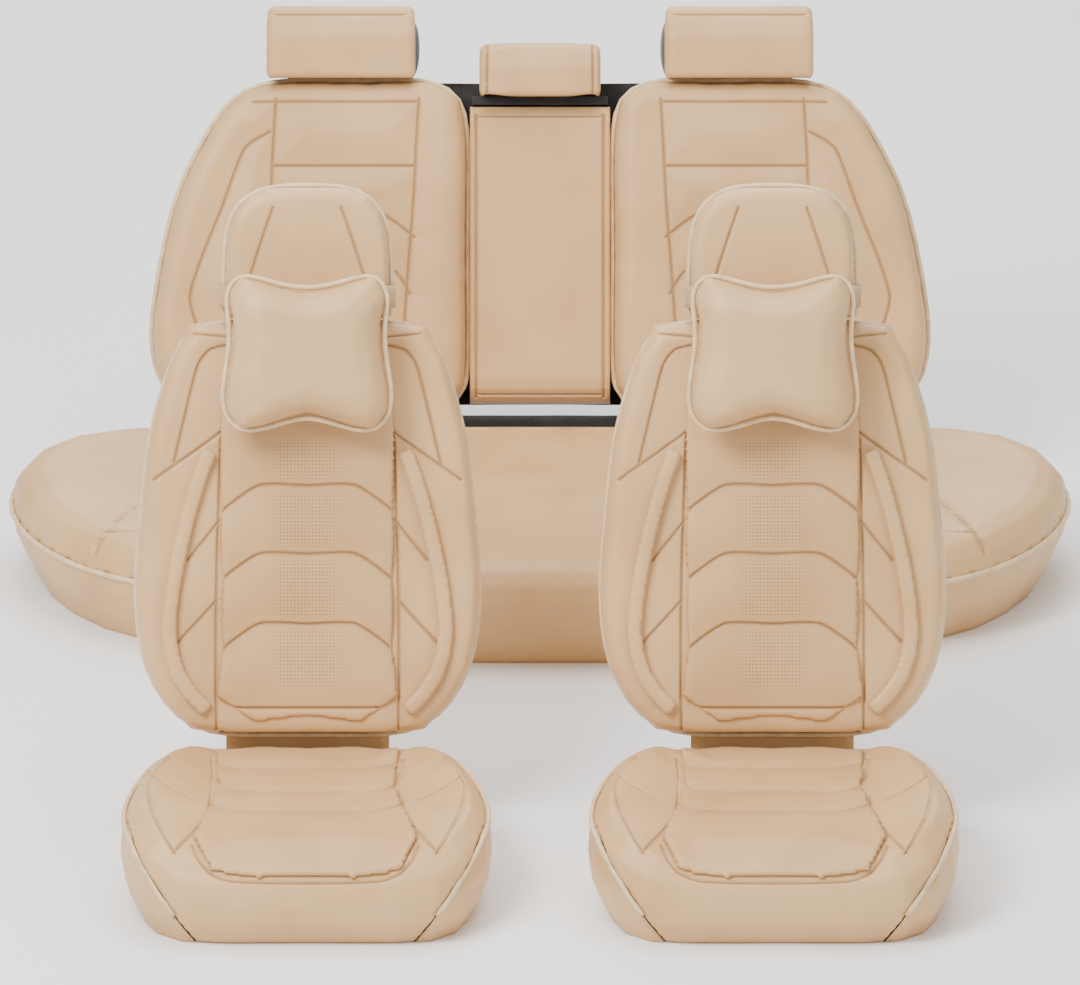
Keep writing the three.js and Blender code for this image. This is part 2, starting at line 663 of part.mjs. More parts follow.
const REAR_OUTLINE = [[0.06, 0], [0.5, 0.018], [0.93, 0.037], [0.98, 0.09], [1, 0.19], [1, 0.28],
  [0.985, 0.37], [0.955, 0.525], [0.91, 0.68], [0.83, 0.83], [0.765, 0.93], [0.69, 0.985], [0.62, 1],
  [0.3, 1], [0.09, 1], [0.02, 0.96], [0, 0.85], [0, 0.5], [0, 0.12], [0.015, 0.03]];

/** The right-hand outboard outline, counter-clockwise. */
function rearLoop() {
  const reach = REAR.outerEdge - REAR.innerEdge;
  return smooth(REAR_OUTLINE.map(([x, h]) => [REAR.innerEdge + x * reach, REAR.foot + h * REAR.height]), 36);
}

function rearBody(wall, rear) {
  const loop = rearLoop();
  const steps = [[1, 24], [0.85, 10], [0.5, 2], [0, 0]];
  const front = steps.map(([share, step]) => ({
    loop: inset(loop, step + wall), at: wall - REAR.bulge * share,
  }));
  return solid(stack([...front, { loop: inset(loop, wall), at: rear }], upright));
}

function outboardCover(side) {
  const middle = (REAR.innerEdge + REAR.outerEdge) / 2;
  const mouth = box([middle - REAR.mouth, WALL * 3 - REAR.bulge, REAR.foot - 40],
    [middle + REAR.mouth, REAR.boxing + 20, REAR.foot + 30]);
  const hollow = rearBody(WALL, REAR.boxing + 20).add(solid(mouth));
  const cover = rearBody(0, REAR.boxing).subtract(hollow);
  const rim = inset(rearLoop(), -CORD - GAP).map(([x, h]) => upright(x, h, 0));
  const slot = solid(box([0, -50, -50], [ARMREST.halfWidth + 2 * GAP, 50, 600]));
  const placed = (body) => geometryOf(side === 'left' ? body.mirror([1, 0, 0]) : body);
  return [
    piece(`rear_${side}_back_cover`, placed(cover), 'leather'),
    piece(`rear_${side}_back_piping`, placed(solid(cord(rim, Y_AXIS, true)).subtract(slot)), 'piping'),
  ];
}

/** One black sheet behind the three rear back covers. */
function rearBacking() {
  const right = REAR_OUTLINE.filter((p, i) => i > 0 && i < 13)
    .map(([x, h]) => [REAR.innerEdge + x * (REAR.outerEdge - REAR.innerEdge), REAR.foot + h * REAR.height]);
  const foot = REAR.foot + 0.018 * REAR.height;
  const outline = mirrored([[0, foot], ...right, [0, REAR.foot + REAR.height]], 1, 1);
  return slab(smooth(outline, 48), REAR.boxing + GAP, REAR.boxing + GAP + SHEET, upright);
}

/** Outline of the armrest's side: flat front and top, round foot about the pivot. */
function armrestSide(wall) {
  const { radius, pivotH, top, front } = ARMREST;
  const centre = front + radius;
  const foot = Array.from({ length: 9 }, (_, k) => {
    const angle = Math.PI * (1 + k / 8);
    return [centre + (radius - wall) * Math.cos(angle), pivotH + (radius - wall) * Math.sin(angle)];
  });
  const rear = centre + radius - wall;
  return [...foot, [rear, top - 14 - wall], [rear - 10, top - wall], [front + wall + 14, top - wall],
    [front + wall, top - 16 - wall]];
}

/** Sleeve over the fold-down armrest, open at its rear face. */
function armrestCover() {
  const outer = solid(slab(armrestSide(0), -ARMREST.halfWidth, ARMREST.halfWidth, sideways));
  const half = ARMREST.halfWidth - SHEET;
  const hollow = solid(slab(armrestSide(SHEET), -half, half, sideways));
  const rear = ARMREST.front + 2 * ARMREST.radius;
  const mouth = box([-half, rear - 20, ARMREST.pivotH + 30], [half, rear + 20, ARMREST.top - 30]);
  return geometryOf(outer.subtract(hollow.add(solid(mouth))));
}

const TRIM = 6.5; // cut off the foot of a headrest hood, so that its rim is flat

/** Hood over a rear headrest: rounded front and top, open underneath. */
function headrestHood(size, left, foot) {
  const depth = size.rear - size.front;
  const outline = (wall) => [[size.front + wall, foot], [size.front + wall, foot + size.height * 0.62],
    [size.front + wall + depth * 0.1, foot + size.height * 0.86],
    [size.front + depth * 0.36, foot + size.height - wall],
    [size.front + depth * 0.66, foot + size.height - wall * 1.1],
    [size.rear - wall - depth * 0.1, foot + size.height * 0.88 - wall * 0.5],
    [size.rear - wall, foot + size.height * 0.6], [size.rear - wall, foot]].reverse();
  const right = left + size.width;
  const outer = solid(stack([
    { loop: inset(outline(0), 6), at: left }, { loop: outline(0), at: left + 7 },
    { loop: outline(0), at: right - 7 }, { loop: inset(outline(0), 6), at: right },
  ], sideways));
  const inner = outline(WALL).map(([d, h]) => [d, h === foot ? foot - 20 : h]);
  const hollow = solid(slab(inner, left + WALL, right - WALL, sideways));
  const below = solid(box([left - 10, size.front - 10, foot - 10],
    [right + 10, size.rear + 10, foot + TRIM]));
  return outer.subtract(hollow).subtract(below);
}

function rearHeadrests() {
  const foot = REAR.foot + REAR.height + 2 * CORD + 7 * GAP - TRIM;
  const centreFoot = CENTRE_TOP.foot + CENTRE_TOP.height + GAP - TRIM;
  const outboard = headrestHood(REAR_HEADREST, REAR_HEADREST.inner, foot);
  const centre = headrestHood(CENTRE_HEADREST, -CENTRE_HEADREST.width / 2, centreFoot);
  return [
    piece('rear_left_headrest_cover', geometryOf(outboard.mirror([1, 0, 0])), 'leather'),
    piece('rear_centre_headrest_cover', geometryOf(centre), 'leather'),
    piece('rear_right_headrest_cover', geometryOf(outboard), 'leather'),
  ];
}

function rearBacks() {
  const group = new THREE.Group();
  const top = box([-CENTRE_TOP.halfWidth, ARMREST.front + 10, CENTRE_TOP.foot],
    [CENTRE_TOP.halfWidth, REAR.boxing, CENTRE_TOP.foot + CENTRE_TOP.height]);
  group.add(
    ...outboardCover('left'),
    ...outboardCover('right'),
    piece('rear_backing', rearBacking(), 'backing'),
    piece('rear_centre_top', top, 'backing'),
    piece('armrest_cover', armrestCover(), 'leather'),
    ...rearHeadrests(),
  );
  group.position.set(0, LAYOUT.benchFront + BENCH.depth + 2 * CORD + 1, BENCH.height + REAR.lift);
  group.rotation.x = THREE.MathUtils.degToRad(-REAR.recline);
  return group;
}

/** Black flap from the rear back covers down behind the bench. */
function rearTuckFlap(backs) {
  const near = LAYOUT.benchFront + BENCH.depth + 2 * CORD + 3 * GAP;
  const crown = BENCH.height;
  const edge = REAR.innerEdge + 8;
  const outline = [[-REAR.flapHalf, 3], [REAR.flapHalf, 3], [REAR.flapHalf, crown + 22], [edge, crown + 22],
    [edge, crown], [-edge, crown], [-edge, crown + 22], [-REAR.flapHalf, crown + 22]];
  backs.updateMatrixWorld();
  const matrix = backs.matrixWorld.elements;
  const piped = rearBody(-2 * CORD - 2 * GAP, REAR.boxing);
  const cover = piped.transform(Array.from(matrix)).translate([0, 0, -GAP]);
  const flap = solid(slab(outline, near, near + SHEET, upright));
  return geometryOf(flap.subtract(cover).subtract(cover.mirror([1, 0, 0])));
}

// ---------------------------------------------------------------- the set

function frontSeat(side, x) {
  const seat = frontCushion(side);
  const back = new THREE.Group();
  back.add(frontBack(side), frontHeadrest(side), neckPillow(side));
  back.position.set(0, BACK.hingeY, BACK.hingeZ);
  back.rotation.x = THREE.MathUtils.degToRad(-BACK.recline);
  seat.add(back);
  seat.position.x = x;
  return seat;
}

const set = new THREE.Group();
set.name = 'seat_cover_set';
const backs = rearBacks();
set.add(
  frontSeat('left', -LAYOUT.frontSpacing / 2),
  frontSeat('right', LAYOUT.frontSpacing / 2),
  ...bench(),
  backs,
  piece('rear_tuck_flap', rearTuckFlap(backs), 'backing'),
);

set.updateMatrixWorld(true);
const bounds = new THREE.Box3().setFromObject(set, true);
const middle = bounds.getCenter(new THREE.Vector3());
set.position.set(-middle.x, -middle.y, -bounds.min.z);

export default set;
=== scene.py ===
"""Seat cover set: padded leather covers, piping, stitching, neck pillows and black fabric panels."""
import json
import logging
import math
from dataclasses import dataclass, field
from enum import Enum

import bmesh
import bpy
from mathutils import Matrix, Vector
from mathutils.bvhtree import BVHTree
from mathutils.kdtree import KDTree


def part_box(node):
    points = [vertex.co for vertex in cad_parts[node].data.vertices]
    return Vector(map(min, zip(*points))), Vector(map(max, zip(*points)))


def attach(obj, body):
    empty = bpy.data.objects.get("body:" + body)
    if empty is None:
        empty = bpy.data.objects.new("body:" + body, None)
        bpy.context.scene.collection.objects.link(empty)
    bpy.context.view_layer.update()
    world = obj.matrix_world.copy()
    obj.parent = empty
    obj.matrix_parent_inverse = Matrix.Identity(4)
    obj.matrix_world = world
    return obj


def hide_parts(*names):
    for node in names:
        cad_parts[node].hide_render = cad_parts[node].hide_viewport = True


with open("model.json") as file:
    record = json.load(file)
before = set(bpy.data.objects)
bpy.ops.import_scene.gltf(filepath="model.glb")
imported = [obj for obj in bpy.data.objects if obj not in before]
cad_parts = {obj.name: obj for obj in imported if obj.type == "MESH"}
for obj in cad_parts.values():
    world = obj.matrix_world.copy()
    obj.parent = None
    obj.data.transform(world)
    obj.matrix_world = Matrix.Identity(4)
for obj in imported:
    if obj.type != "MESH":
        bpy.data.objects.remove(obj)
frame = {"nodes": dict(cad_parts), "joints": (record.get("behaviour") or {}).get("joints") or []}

log = logging.getLogger("seat_covers")

MM = 0.001
FILL_LIMIT = 0.0015  # the most that a pillow case may swell
SEAM_BANDS = ((0.0085, 0.0026), (0.0050, 0.0014), (0.0030, 0.0008))  # distance from a seam, longest edge
SLANT = math.radians(20.0)  # the pattern plane leans back by this much
INTO = Vector((0.0, math.cos(SLANT), -math.sin(SLANT)))
UP_PLANE = Vector((0.0, math.sin(SLANT), math.cos(SLANT)))
JOINTS = {joint["name"]: joint for joint in frame["joints"]}
HINGE = Vector(JOINTS["left_recline"]["pos_m"])
FRONT_EDGE = HINGE.y - 0.460  # where the pattern plane starts
FOLD = Vector(JOINTS["armrest_fold"]["pos_m"])
REAR_FOOT = FOLD - 0.050 * UP_PLANE - 0.027 * INTO
Line = list[tuple[float, float]]
Track = list[tuple[Vector, Vector]]


class Stitching(Enum):
    """How a seam is sewn."""

    NONE = ()
    SINGLE = (3.0,)
    DOUBLE = (-3.0, 3.0)


class Fabric(Enum):
    """Which weave a cloth shows."""

    KNIT = 900.0
    WEBBING = 420.0


# ---------------------------------------------------------------- materials


class Value:
    """A number, colour or vector on its way through a material's nodes."""

    def __init__(self, tree: bpy.types.NodeTree, socket: bpy.types.NodeSocket) -> None:
        """Wraps one output socket."""
        self.tree = tree
        self.socket = socket

    def math(self, operation: str, *operands: "Value | float") -> "Value":
        """Adds a Math node.

        Args:
            operation: the node's operation.
            operands: what goes into its inputs, in order.

        Returns:
            The node's result.
        """
        return make_node(self.tree, "ShaderNodeMath", {"operation": operation}, dict(enumerate(operands)))

    def __add__(self, other: "Value | float") -> "Value":
        """Adds."""
        return self.math("ADD", self, other)

    __radd__ = __add__

    def __sub__(self, other: "Value | float") -> "Value":
        """Takes other away."""
        return self.math("SUBTRACT", self, other)

    def __rsub__(self, other: "Value | float") -> "Value":
        """Is taken away from other."""
        return self.math("SUBTRACT", other, self)

    def __mul__(self, other: "Value | float") -> "Value":
        """Multiplies."""
        return self.math("MULTIPLY", self, other)

    __rmul__ = __mul__

    def __truediv__(self, other: "Value | float") -> "Value":
        """Divides by other."""
        return self.math("DIVIDE", self, other)

    def ramp(self, low: float, high: float, first: float = 0.0, last: float = 1.0) -> "Value":
        """Turns low..high smoothly into first..last.

        Args:
            low: where the ramp starts.
            high: where it ends.
            first: the result at low.
            last: the result at high.

        Returns:
            The ramp.
        """
        return make_node(self.tree, "ShaderNodeMapRange", {"interpolation_type": "SMOOTHSTEP"},
                         {"Value": self, "From Min": low, "From Max": high, "To Min": first, "To Max": last})

    def window(self, low: float, high: float, soft: float) -> "Value":
        """Is 1 between low and high, and fades out over soft on both sides."""
        return self.ramp(low - soft, low + soft) * self.ramp(high - soft, high + soft, 1.0, 0.0)


def make_node(tree: bpy.types.NodeTree, kind: str, settings: dict, inputs: dict, output: int | str = 0) -> Value:
    """Adds any node.

    Args:
        tree: the material's tree.
        kind: the node's type name.
        settings: properties of the node.
        inputs: what goes into its sockets, by name or number.
        output: which output is wanted.

    Returns:
        That output.
    """
    node = tree.nodes.new(kind)
    for name, setting in settings.items():
        setattr(node, name, setting)
    for key, feed in inputs.items():
        if isinstance(feed, Value):
            tree.links.new(feed.socket, node.inputs[key])
        else:
            node.inputs[key].default_value = feed
    return Value(tree, node.outputs[output])


@dataclass(frozen=True)
class Perforation:
    """A field of punched holes, in metres on the turned Object axes."""

    pitch: float
    radius: float
    middle: float  # distance of the field's centre line from the set's centre plane
    half: float
    low: float
    high: float
    fade: float = 0.02
    turned: float = 18.0


class Paint:
    """A material under construction."""

    def __init__(self, name: str) -> None:
        """Starts an empty material.

        Args:
            name: the material's name.
        """
        self.material = bpy.data.materials.new(name)
        self.material.use_nodes = True
        self.tree = self.material.node_tree
        self.surface = self.tree.nodes["Principled BSDF"]
        self.place = make_node(self.tree, "ShaderNodeTexCoord", {}, {}, "Object")

    def node(self, kind: str, settings: dict, inputs: dict, output: int | str = 0) -> Value:
        """Adds a node of any kind to this material."""
        return make_node(self.tree, kind, settings, inputs, output)

    def noise(self, scale: float, detail: float = 3.0) -> Value:
        """Gives smooth noise with that many bumps to the metre."""
        return self.node("ShaderNodeTexNoise", {}, {"Vector": self.place, "Scale": scale, "Detail": detail}, 0)

    def attribute(self, name: str) -> Value:
        """Reads a number kept on the mesh."""
        return self.node("ShaderNodeAttribute", {"attribute_name": name}, {}, "Fac")

    def mixed(self, share: Value, first: tuple, last: tuple) -> Value:
        """Blends two colours by share."""
        node = self.tree.nodes.new("ShaderNodeMix")
        node.data_type = "RGBA"
        self.tree.links.new(share.socket, node.inputs[0])
        for index, colour in ((6, first), (7, last)):
            if isinstance(colour, Value):
                self.tree.links.new(colour.socket, node.inputs[index])
            else:
                node.inputs[index].default_value = (*colour, 1.0)
        return Value(self.tree, node.outputs[2])

    def axes(self, turned: float) -> tuple[Value, Value, Value]:
        """Splits the place into across, depth and height after turning it upright."""
        upright = self.node("ShaderNodeMapping", {}, {"Vector": self.place,
                                                      "Rotation": (math.radians(turned), 0.0, 0.0)})
        return tuple(self.node("ShaderNodeSeparateXYZ", {}, {0: upright}, index) for index in range(3))

    def finish(self, colour: Value, rough: Value, height: Value, distance: float, strength: float) -> None:
        """Joins colour, roughness and bumps to the surface."""
        bump = self.node("ShaderNodeBump", {}, {"Height": height, "Distance": distance, "Strength": strength})
        self.tree.links.new(colour.socket, self.surface.inputs["Base Color"])
        self.tree.links.new(rough.socket, self.surface.inputs["Roughness"])
        self.tree.links.new(bump.socket, self.surface.inputs["Normal"])


@dataclass(frozen=True)
class Leather:
    """Grained leatherette, plain or perforated."""

    name: str
    colour: tuple[float, float, float]
    rough: float = 0.46
    grain: float = 0.35
    holes: tuple[Perforation, ...] = ()

    def material(self) -> bpy.types.Material:
        """Builds the leather's material.

        Returns:
            The material.
        """
        paint = Paint(self.name)
        crease_shade = paint.attribute("crease_shade")
        shade = tuple(part * factor for part, factor in zip(self.colour, (0.90, 0.87, 0.82)))
        # painted shade: a dark leather colour laid into the seam grooves and next to the piping
        crease_shadow_colour = tuple(part * factor for part, factor in zip(self.colour, (0.42, 0.34, 0.26)))
        tint = paint.mixed(paint.noise(7.0, 2.0).ramp(0.35, 0.70), self.colour, shade)
        cells = paint.node("ShaderNodeTexVoronoi", {"feature": "DISTANCE_TO_EDGE"},
                           {"Vector": paint.place, "Scale": 620.0})
        pores = paint.noise(1500.0, 2.0)
        grain = cells.ramp(0.0, 0.25) * 0.7 + pores * 0.3
        rough = paint.noise(40.0) * 0.10 + (self.rough - 0.05) + crease_shade * 0.15
        height = grain * self.grain
        for field_ in self.holes:
            hole = self.punched(paint, field_)
            tint = paint.mixed(hole * 0.80, tint, tuple(part * 0.12 for part in self.colour))
            height = height - hole * 2.0
        # paints shade along the seams and beside the piping, by the mask kept on the mesh
        tint = paint.mixed(crease_shade * 0.85, tint, crease_shadow_colour)
        paint.surface.inputs["Coat Weight"].default_value = 0.06
        paint.surface.inputs["Coat Roughness"].default_value = 0.35
        paint.surface.inputs["Specular IOR Level"].default_value = 0.42
        paint.finish(tint, rough, height, 0.0004, 0.35)
        return paint.material

    @staticmethod
    def punched(paint: Paint, holes: Perforation) -> Value:
        """Draws a field of round holes.

        Args:
            paint: the material.
            holes: the field.

        Returns:
            1 in a hole and 0 between holes.
        """
        across, _, height = paint.axes(holes.turned)
        side = across.math("ABSOLUTE", across) - holes.middle
        u = side.math("FRACT", side / holes.pitch + 500.0) - 0.5
        v = height.math("FRACT", height / holes.pitch + 500.0) - 0.5
        away = u.math("SQRT", u * u + v * v) * holes.pitch
        field_ = side.window(-holes.half, holes.half, holes.fade) * height.window(holes.low, holes.high, 0.004)
        return away.ramp(holes.radius * 0.7, holes.radius * 1.25, 1.0, 0.0) * field_


@dataclass(frozen=True)
class Cord:
    """The smooth cover of piping and of sewing thread."""

    name: str
    colour: tuple[float, float, float]
    rough: float = 0.4
    lay: float = 900.0

    def material(self) -> bpy.types.Material:
        """Builds the material.

        Returns:
            The material.
        """
        paint = Paint(self.name)
        low = tuple(part * 0.80 for part in self.colour)
        tint = paint.mixed(paint.noise(60.0).ramp(0.3, 0.7), self.colour, low)
        rough = paint.noise(90.0) * 0.14 + self.rough
        paint.finish(tint, rough, paint.noise(self.lay, 2.0), 0.0003, 0.30)
        return paint.material


@dataclass(frozen=True)
class Cloth:
    """Black knitted fabric or woven webbing."""

    name: str
    colour: tuple[float, float, float]
    weave: Fabric = Fabric.KNIT
    turned: float = 20.0
    thread_highlight: float = 2.3  # painted highlight: how much lighter the tops of the threads are painted

    def material(self) -> bpy.types.Material:
        """Builds the cloth's material.

        Returns:
            The material.
        """
        paint = Paint(self.name)
        across, depth, height = paint.axes(self.turned)
        turn = self.weave.value * math.tau
        warp = across.math("SINE", across * turn)
        weft = height.math("SINE", height * turn * (1.0 if self.weave is Fabric.KNIT else 0.5) + depth * turn)
        thread = (warp * weft) * 0.5 + 0.5
        # painted highlight on the tops of the threads, in the weave's pattern
        light = tuple(part * self.thread_highlight + 0.004 for part in self.colour)
        tint = paint.mixed(thread * paint.noise(30.0).ramp(0.2, 0.9), self.colour, light)
        paint.surface.inputs["Sheen Weight"].default_value = 0.25
        paint.surface.inputs["Sheen Roughness"].default_value = 0.5
        paint.finish(tint, paint.noise(50.0) * 0.10 + 0.78, thread, 0.0003, 0.45)
        return paint.material


@dataclass(frozen=True)
class Plastic:
    """Moulded black plastic with a fine spark texture."""

    name: str
    colour: tuple[float, float, float] = (0.02, 0.02, 0.021)

    def material(self) -> bpy.types.Material:
        """Builds the plastic's material.

        Returns:
            The material.
        """
        paint = Paint(self.name)
        tint = paint.mixed(paint.noise(120.0), self.colour, tuple(part * 1.6 for part in self.colour))
        paint.finish(tint, paint.noise(400.0) * 0.15 + 0.38, paint.noise(2200.0), 0.0002, 0.25)
        return paint.material


BEIGE = (0.630, 0.390, 0.178)


def front_holes() -> tuple[Perforation, ...]:
    """Gives the three fields of holes between the arcs of a front back cover."""
    base = HINGE.y * math.sin(math.radians(18.0)) + HINGE.z * math.cos(math.radians(18.0))
    spans = ((345.0, 395.0), (250.0, 325.0), (155.0, 232.0), (60.0, 135.0))
    return tuple(Perforation(0.0049, 0.0009, 0.319, 0.046, base + low * MM, base + high * MM)
                 for low, high in spans)


def seat_holes() -> tuple[Perforation, ...]:
    """Gives the fields of holes along a front cushion cover."""
    return tuple(Perforation(0.0052, 0.0010, 0.319, 0.050, FRONT_EDGE + low * MM, FRONT_EDGE + high * MM,
                             turned=-90.0) for low, high in ((55.0, 165.0), (205.0, 250.0), (283.0, 335.0)))


class Wardrobe:
    """Every finish of the set, built once."""

    def __init__(self) -> None:
        """Builds the materials."""
        rear = REAR_FOOT.y * math.sin(SLANT) + REAR_FOOT.z * math.cos(SLANT)
        rear_holes = (Perforation(0.0034, 0.00055, 0.277, 0.098, rear - 0.05, rear + 0.333, 0.002, 20.0),)
        pillow_holes = (Perforation(0.0034, 0.00055, 0.319, 0.066, -5.0, 5.0, 0.03, 18.0),)
        finishes = (
            Leather("leather", BEIGE),
            Leather("leather_perforated_back", (0.595, 0.358, 0.158), 0.5, 0.35, front_holes()),
            Leather("leather_perforated_seat", (0.595, 0.358, 0.158), 0.5, 0.35, seat_holes()),
            Leather("leather_rear_back", BEIGE, 0.46, 0.35, rear_holes),
            Leather("leather_pillow", (0.660, 0.420, 0.200), 0.5, 0.25, pillow_holes),
            Cord("piping", (0.76, 0.56, 0.32)),
            Cord("thread", (0.60, 0.40, 0.19), 0.55, 2400.0),
            Cloth("black_knit", (0.011, 0.011, 0.012)),
            Cloth("webbing", (0.016, 0.016, 0.017), Fabric.WEBBING),
            Cloth("elastic", (0.42, 0.28, 0.14), Fabric.WEBBING, 18.0, 1.25),
            Plastic("buckle_plastic"),
        )
        self.made = {finish.name: finish.material() for finish in finishes}

    def __getitem__(self, name: str) -> bpy.types.Material:
        """Finds a material by its name."""
        return self.made[name]


# ---------------------------------------------------------------- sewing


@dataclass(frozen=True)
class Seam:
    """A sewn line, in mm across and mm up the pattern plane, for one half of a cover."""

    line: tuple[tuple[float, float], ...]
    sewn: Stitching = Stitching.DOUBLE
    joined: bool = False  # runs through the centre to its own mirror image
    paired: bool = True

    def lines(self) -> list[Line]:
        """Gives the seam's lines, with their mirror images."""
        other = [(-x, w) for x, w in self.line]
        if self.joined:
            return [list(self.line) + other[::-1][1:]]
        return [list(self.line), other] if self.paired else [list(self.line)]


def curve_through(points: Line, step: float) -> Line:
    """Draws an even, smooth line through points.

    Args:
        points: the points, in mm.
        step: the spacing wanted, in mm.

    Returns:
        The closely spaced line.
    """
    ends = [points[0], *points, points[-1]]
    out: Line = []
    for before, start, end, after in zip(ends, ends[1:], ends[2:], ends[3:]):
        count = max(1, round(math.dist(start, end) / step))
        for index in range(count):
            t = index / count
            weights = ((-t + 2 * t * t - t ** 3) * 0.35, 1 - 2.65 * t * t + 1.65 * t ** 3,
                       0.35 * t + 2.30 * t * t - 1.65 * t ** 3, (-t * t + t ** 3) * 0.35)
            out.append(tuple(sum(weight * point[axis] for weight, point in zip(weights, (before, start, end, after)))
                             for axis in (0, 1)))
    return [*out, points[-1]]


def cast(tree: BVHTree, centre: float, line: Line) -> Track:
    """Drops a line of the pattern plane onto a cover.

    Args:
        tree: the cover's surface.
        centre: the cover's middle, in metres across.
        line: the line, in mm.

    Returns:
        Points on the cover with the surface's direction at each.
    """
    track: Track = []
    for x, w in curve_through(line, 1.6):
        start = Vector((centre + x * MM, FRONT_EDGE, 0.0)) + w * MM * UP_PLANE - 3.0 * INTO
        point, normal, _, _ = tree.ray_cast(start, INTO)
        if point is not None and (not track or (point - track[-1][0]).length < 0.05):
            track.append((point, normal))
    return track


def merged(*nodes: str) -> bmesh.types.BMesh:
    """Gathers fitted shells into one mesh with its doubles merged."""
    mesh = bmesh.new()
    for node in nodes:
        mesh.from_mesh(frame["nodes"][node].data)
    bmesh.ops.remove_doubles(mesh, verts=mesh.verts, dist=1e-5)
    return mesh


def placed(name: str, mesh: bmesh.types.BMesh, material: bpy.types.Material) -> bpy.types.Object:
    """Turns a bmesh into an object of the scene, smooth and dressed.

    Args:
        name: the piece's name.
        mesh: the shape, freed afterwards.
        material: its finish.

    Returns:
        The object.
    """
    data = bpy.data.meshes.new(name)
    mesh.to_mesh(data)
    mesh.free()
    data.materials.clear()
    data.materials.append(material)
    data.shade_smooth()
    piece = bpy.data.objects.new(name, data)
    bpy.context.scene.collection.objects.link(piece)
    return piece


def evaluated(holder: bpy.types.Object) -> bmesh.types.BMesh:
    """Applies an object's modifiers and gives the result as a new mesh."""
    graph = bpy.context.evaluated_depsgraph_get()
    live = holder.evaluated_get(graph)
    mesh = bmesh.new()
    mesh.from_mesh(live.to_mesh())
    live.to_mesh_clear()
    return mesh


def discard(holder: bpy.types.Object) -> None:
    """Removes a working object and its mesh."""
    data = holder.data
    bpy.data.objects.remove(holder)
    bpy.data.meshes.remove(data)


def holder_for(mesh: bmesh.types.BMesh) -> bpy.types.Object:
    """Puts a mesh into a working object, and frees it."""
    data = bpy.data.meshes.new("working")
    mesh.to_mesh(data)
    mesh.free()
    holder = bpy.data.objects.new("working", data)
    bpy.context.scene.collection.objects.link(holder)
    return holder


def evened(mesh: bmesh.types.BMesh, voxel: float, rounds: int) -> bmesh.types.BMesh:
    """Gives a shell an even, rounded skin.

    Args:
        mesh: the shell, freed afterwards.
        voxel: the spacing of the skin.
        rounds: how often it is smoothed.

    Returns:
        The new skin.
    """
    holder = holder_for(mesh)
    tool = holder.modifiers.new("Even", "REMESH")
    tool.mode = "VOXEL"
    tool.voxel_size = voxel
    out = evaluated(holder)
    discard(holder)
    for _ in range(rounds):
        bmesh.ops.smooth_vert(out, verts=out.verts, factor=0.5, use_axis_x=True, use_axis_y=True, use_axis_z=True)
    return out


def blown(mesh: bmesh.types.BMesh, pressure: float, cap: float) -> bmesh.types.BMesh:
    """Lets filling press a closed case outwards as cloth.

    Args:
        mesh: the case, freed afterwards.
        pressure: how hard the filling presses.
        cap: the most that a point may move.

    Returns:
        The filled case.
    """
    rest = [vertex.co.copy() for vertex in mesh.verts]
    holder = holder_for(mesh)
    cloth = holder.modifiers.new("Filling", "CLOTH")
    cloth.settings.use_pressure = True
    cloth.settings.uniform_pressure_force = pressure
    cloth.settings.effector_weights.gravity = 0.0
    cloth.settings.quality = 5
    scene = bpy.context.scene
    for moment in range(1, 21):
        scene.frame_set(moment)
    out = evaluated(holder)
    scene.frame_set(1)
    discard(holder)
    out.verts.ensure_lookup_table()
    for vertex, start in zip(out.verts, rest):
        move = vertex.co - start
        if move.length > cap:
            vertex.co = start + move.normalized() * cap
    bmesh.ops.smooth_vert(out, verts=out.verts, factor=0.5, use_axis_x=True, use_axis_y=True, use_axis_z=True)
    return out


def nearness(points: list[Vector]) -> KDTree:
    tree = KDTree(max(1, len(points)))
    for index, point in enumerate(points):
        tree.insert(point, index)
    tree.balance()
    return tree


@dataclass
class Thread:
    """Rows of sewing thread along seams."""

    pitch: float = 0.0052
    length: float = 0.0019  # half of a stitch
    radius: float = 0.00065

    def row(self, tree: BVHTree, track: Track, aside: float) -> bmesh.types.BMesh:
        """Sews one row.

        Args:
            tree: the surface to sew on.
            track: the seam.
            aside: how far the row lies from it, in mm.

        Returns:
            The stitches.
        """
        mesh = bmesh.new()
        travelled, due = 0.0, self.pitch
        for (start, _), (end, normal) in zip(track, track[1:]):
            along = end - start
            travelled += along.length
            if travelled < due or along.length < 1e-6:
                continue
            due += self.pitch
            side = normal.cross(along).normalized()
            point, face, _, gap = tree.find_nearest(end + side * aside * MM)
            if point is None or gap > 0.006:
                continue
            along = (along - along.dot(face) * face).normalized()
            turn = Matrix((along, face.cross(along), face)).transposed().to_4x4()
            size = Matrix.Diagonal((self.length, self.radius, self.radius, 1.0))
            bmesh.ops.create_icosphere(mesh, subdivisions=1, radius=1.0,
                                       matrix=Matrix.Translation(point + face * 0.0002) @ turn @ size)
        return mesh


@dataclass
class Padding:
    """How a cover's foam swells between its seams, in metres."""

    voxel: float = 0.0040
    crown: float = 0.0035
    groove: float = 0.0030
    width: float = 0.0022
    reach: float = 0.022
    rounds: int = 3
    longest: float = 0.008  # the longest edge where the skin isn't evened
    facing: Vector = field(default_factory=lambda: -INTO)


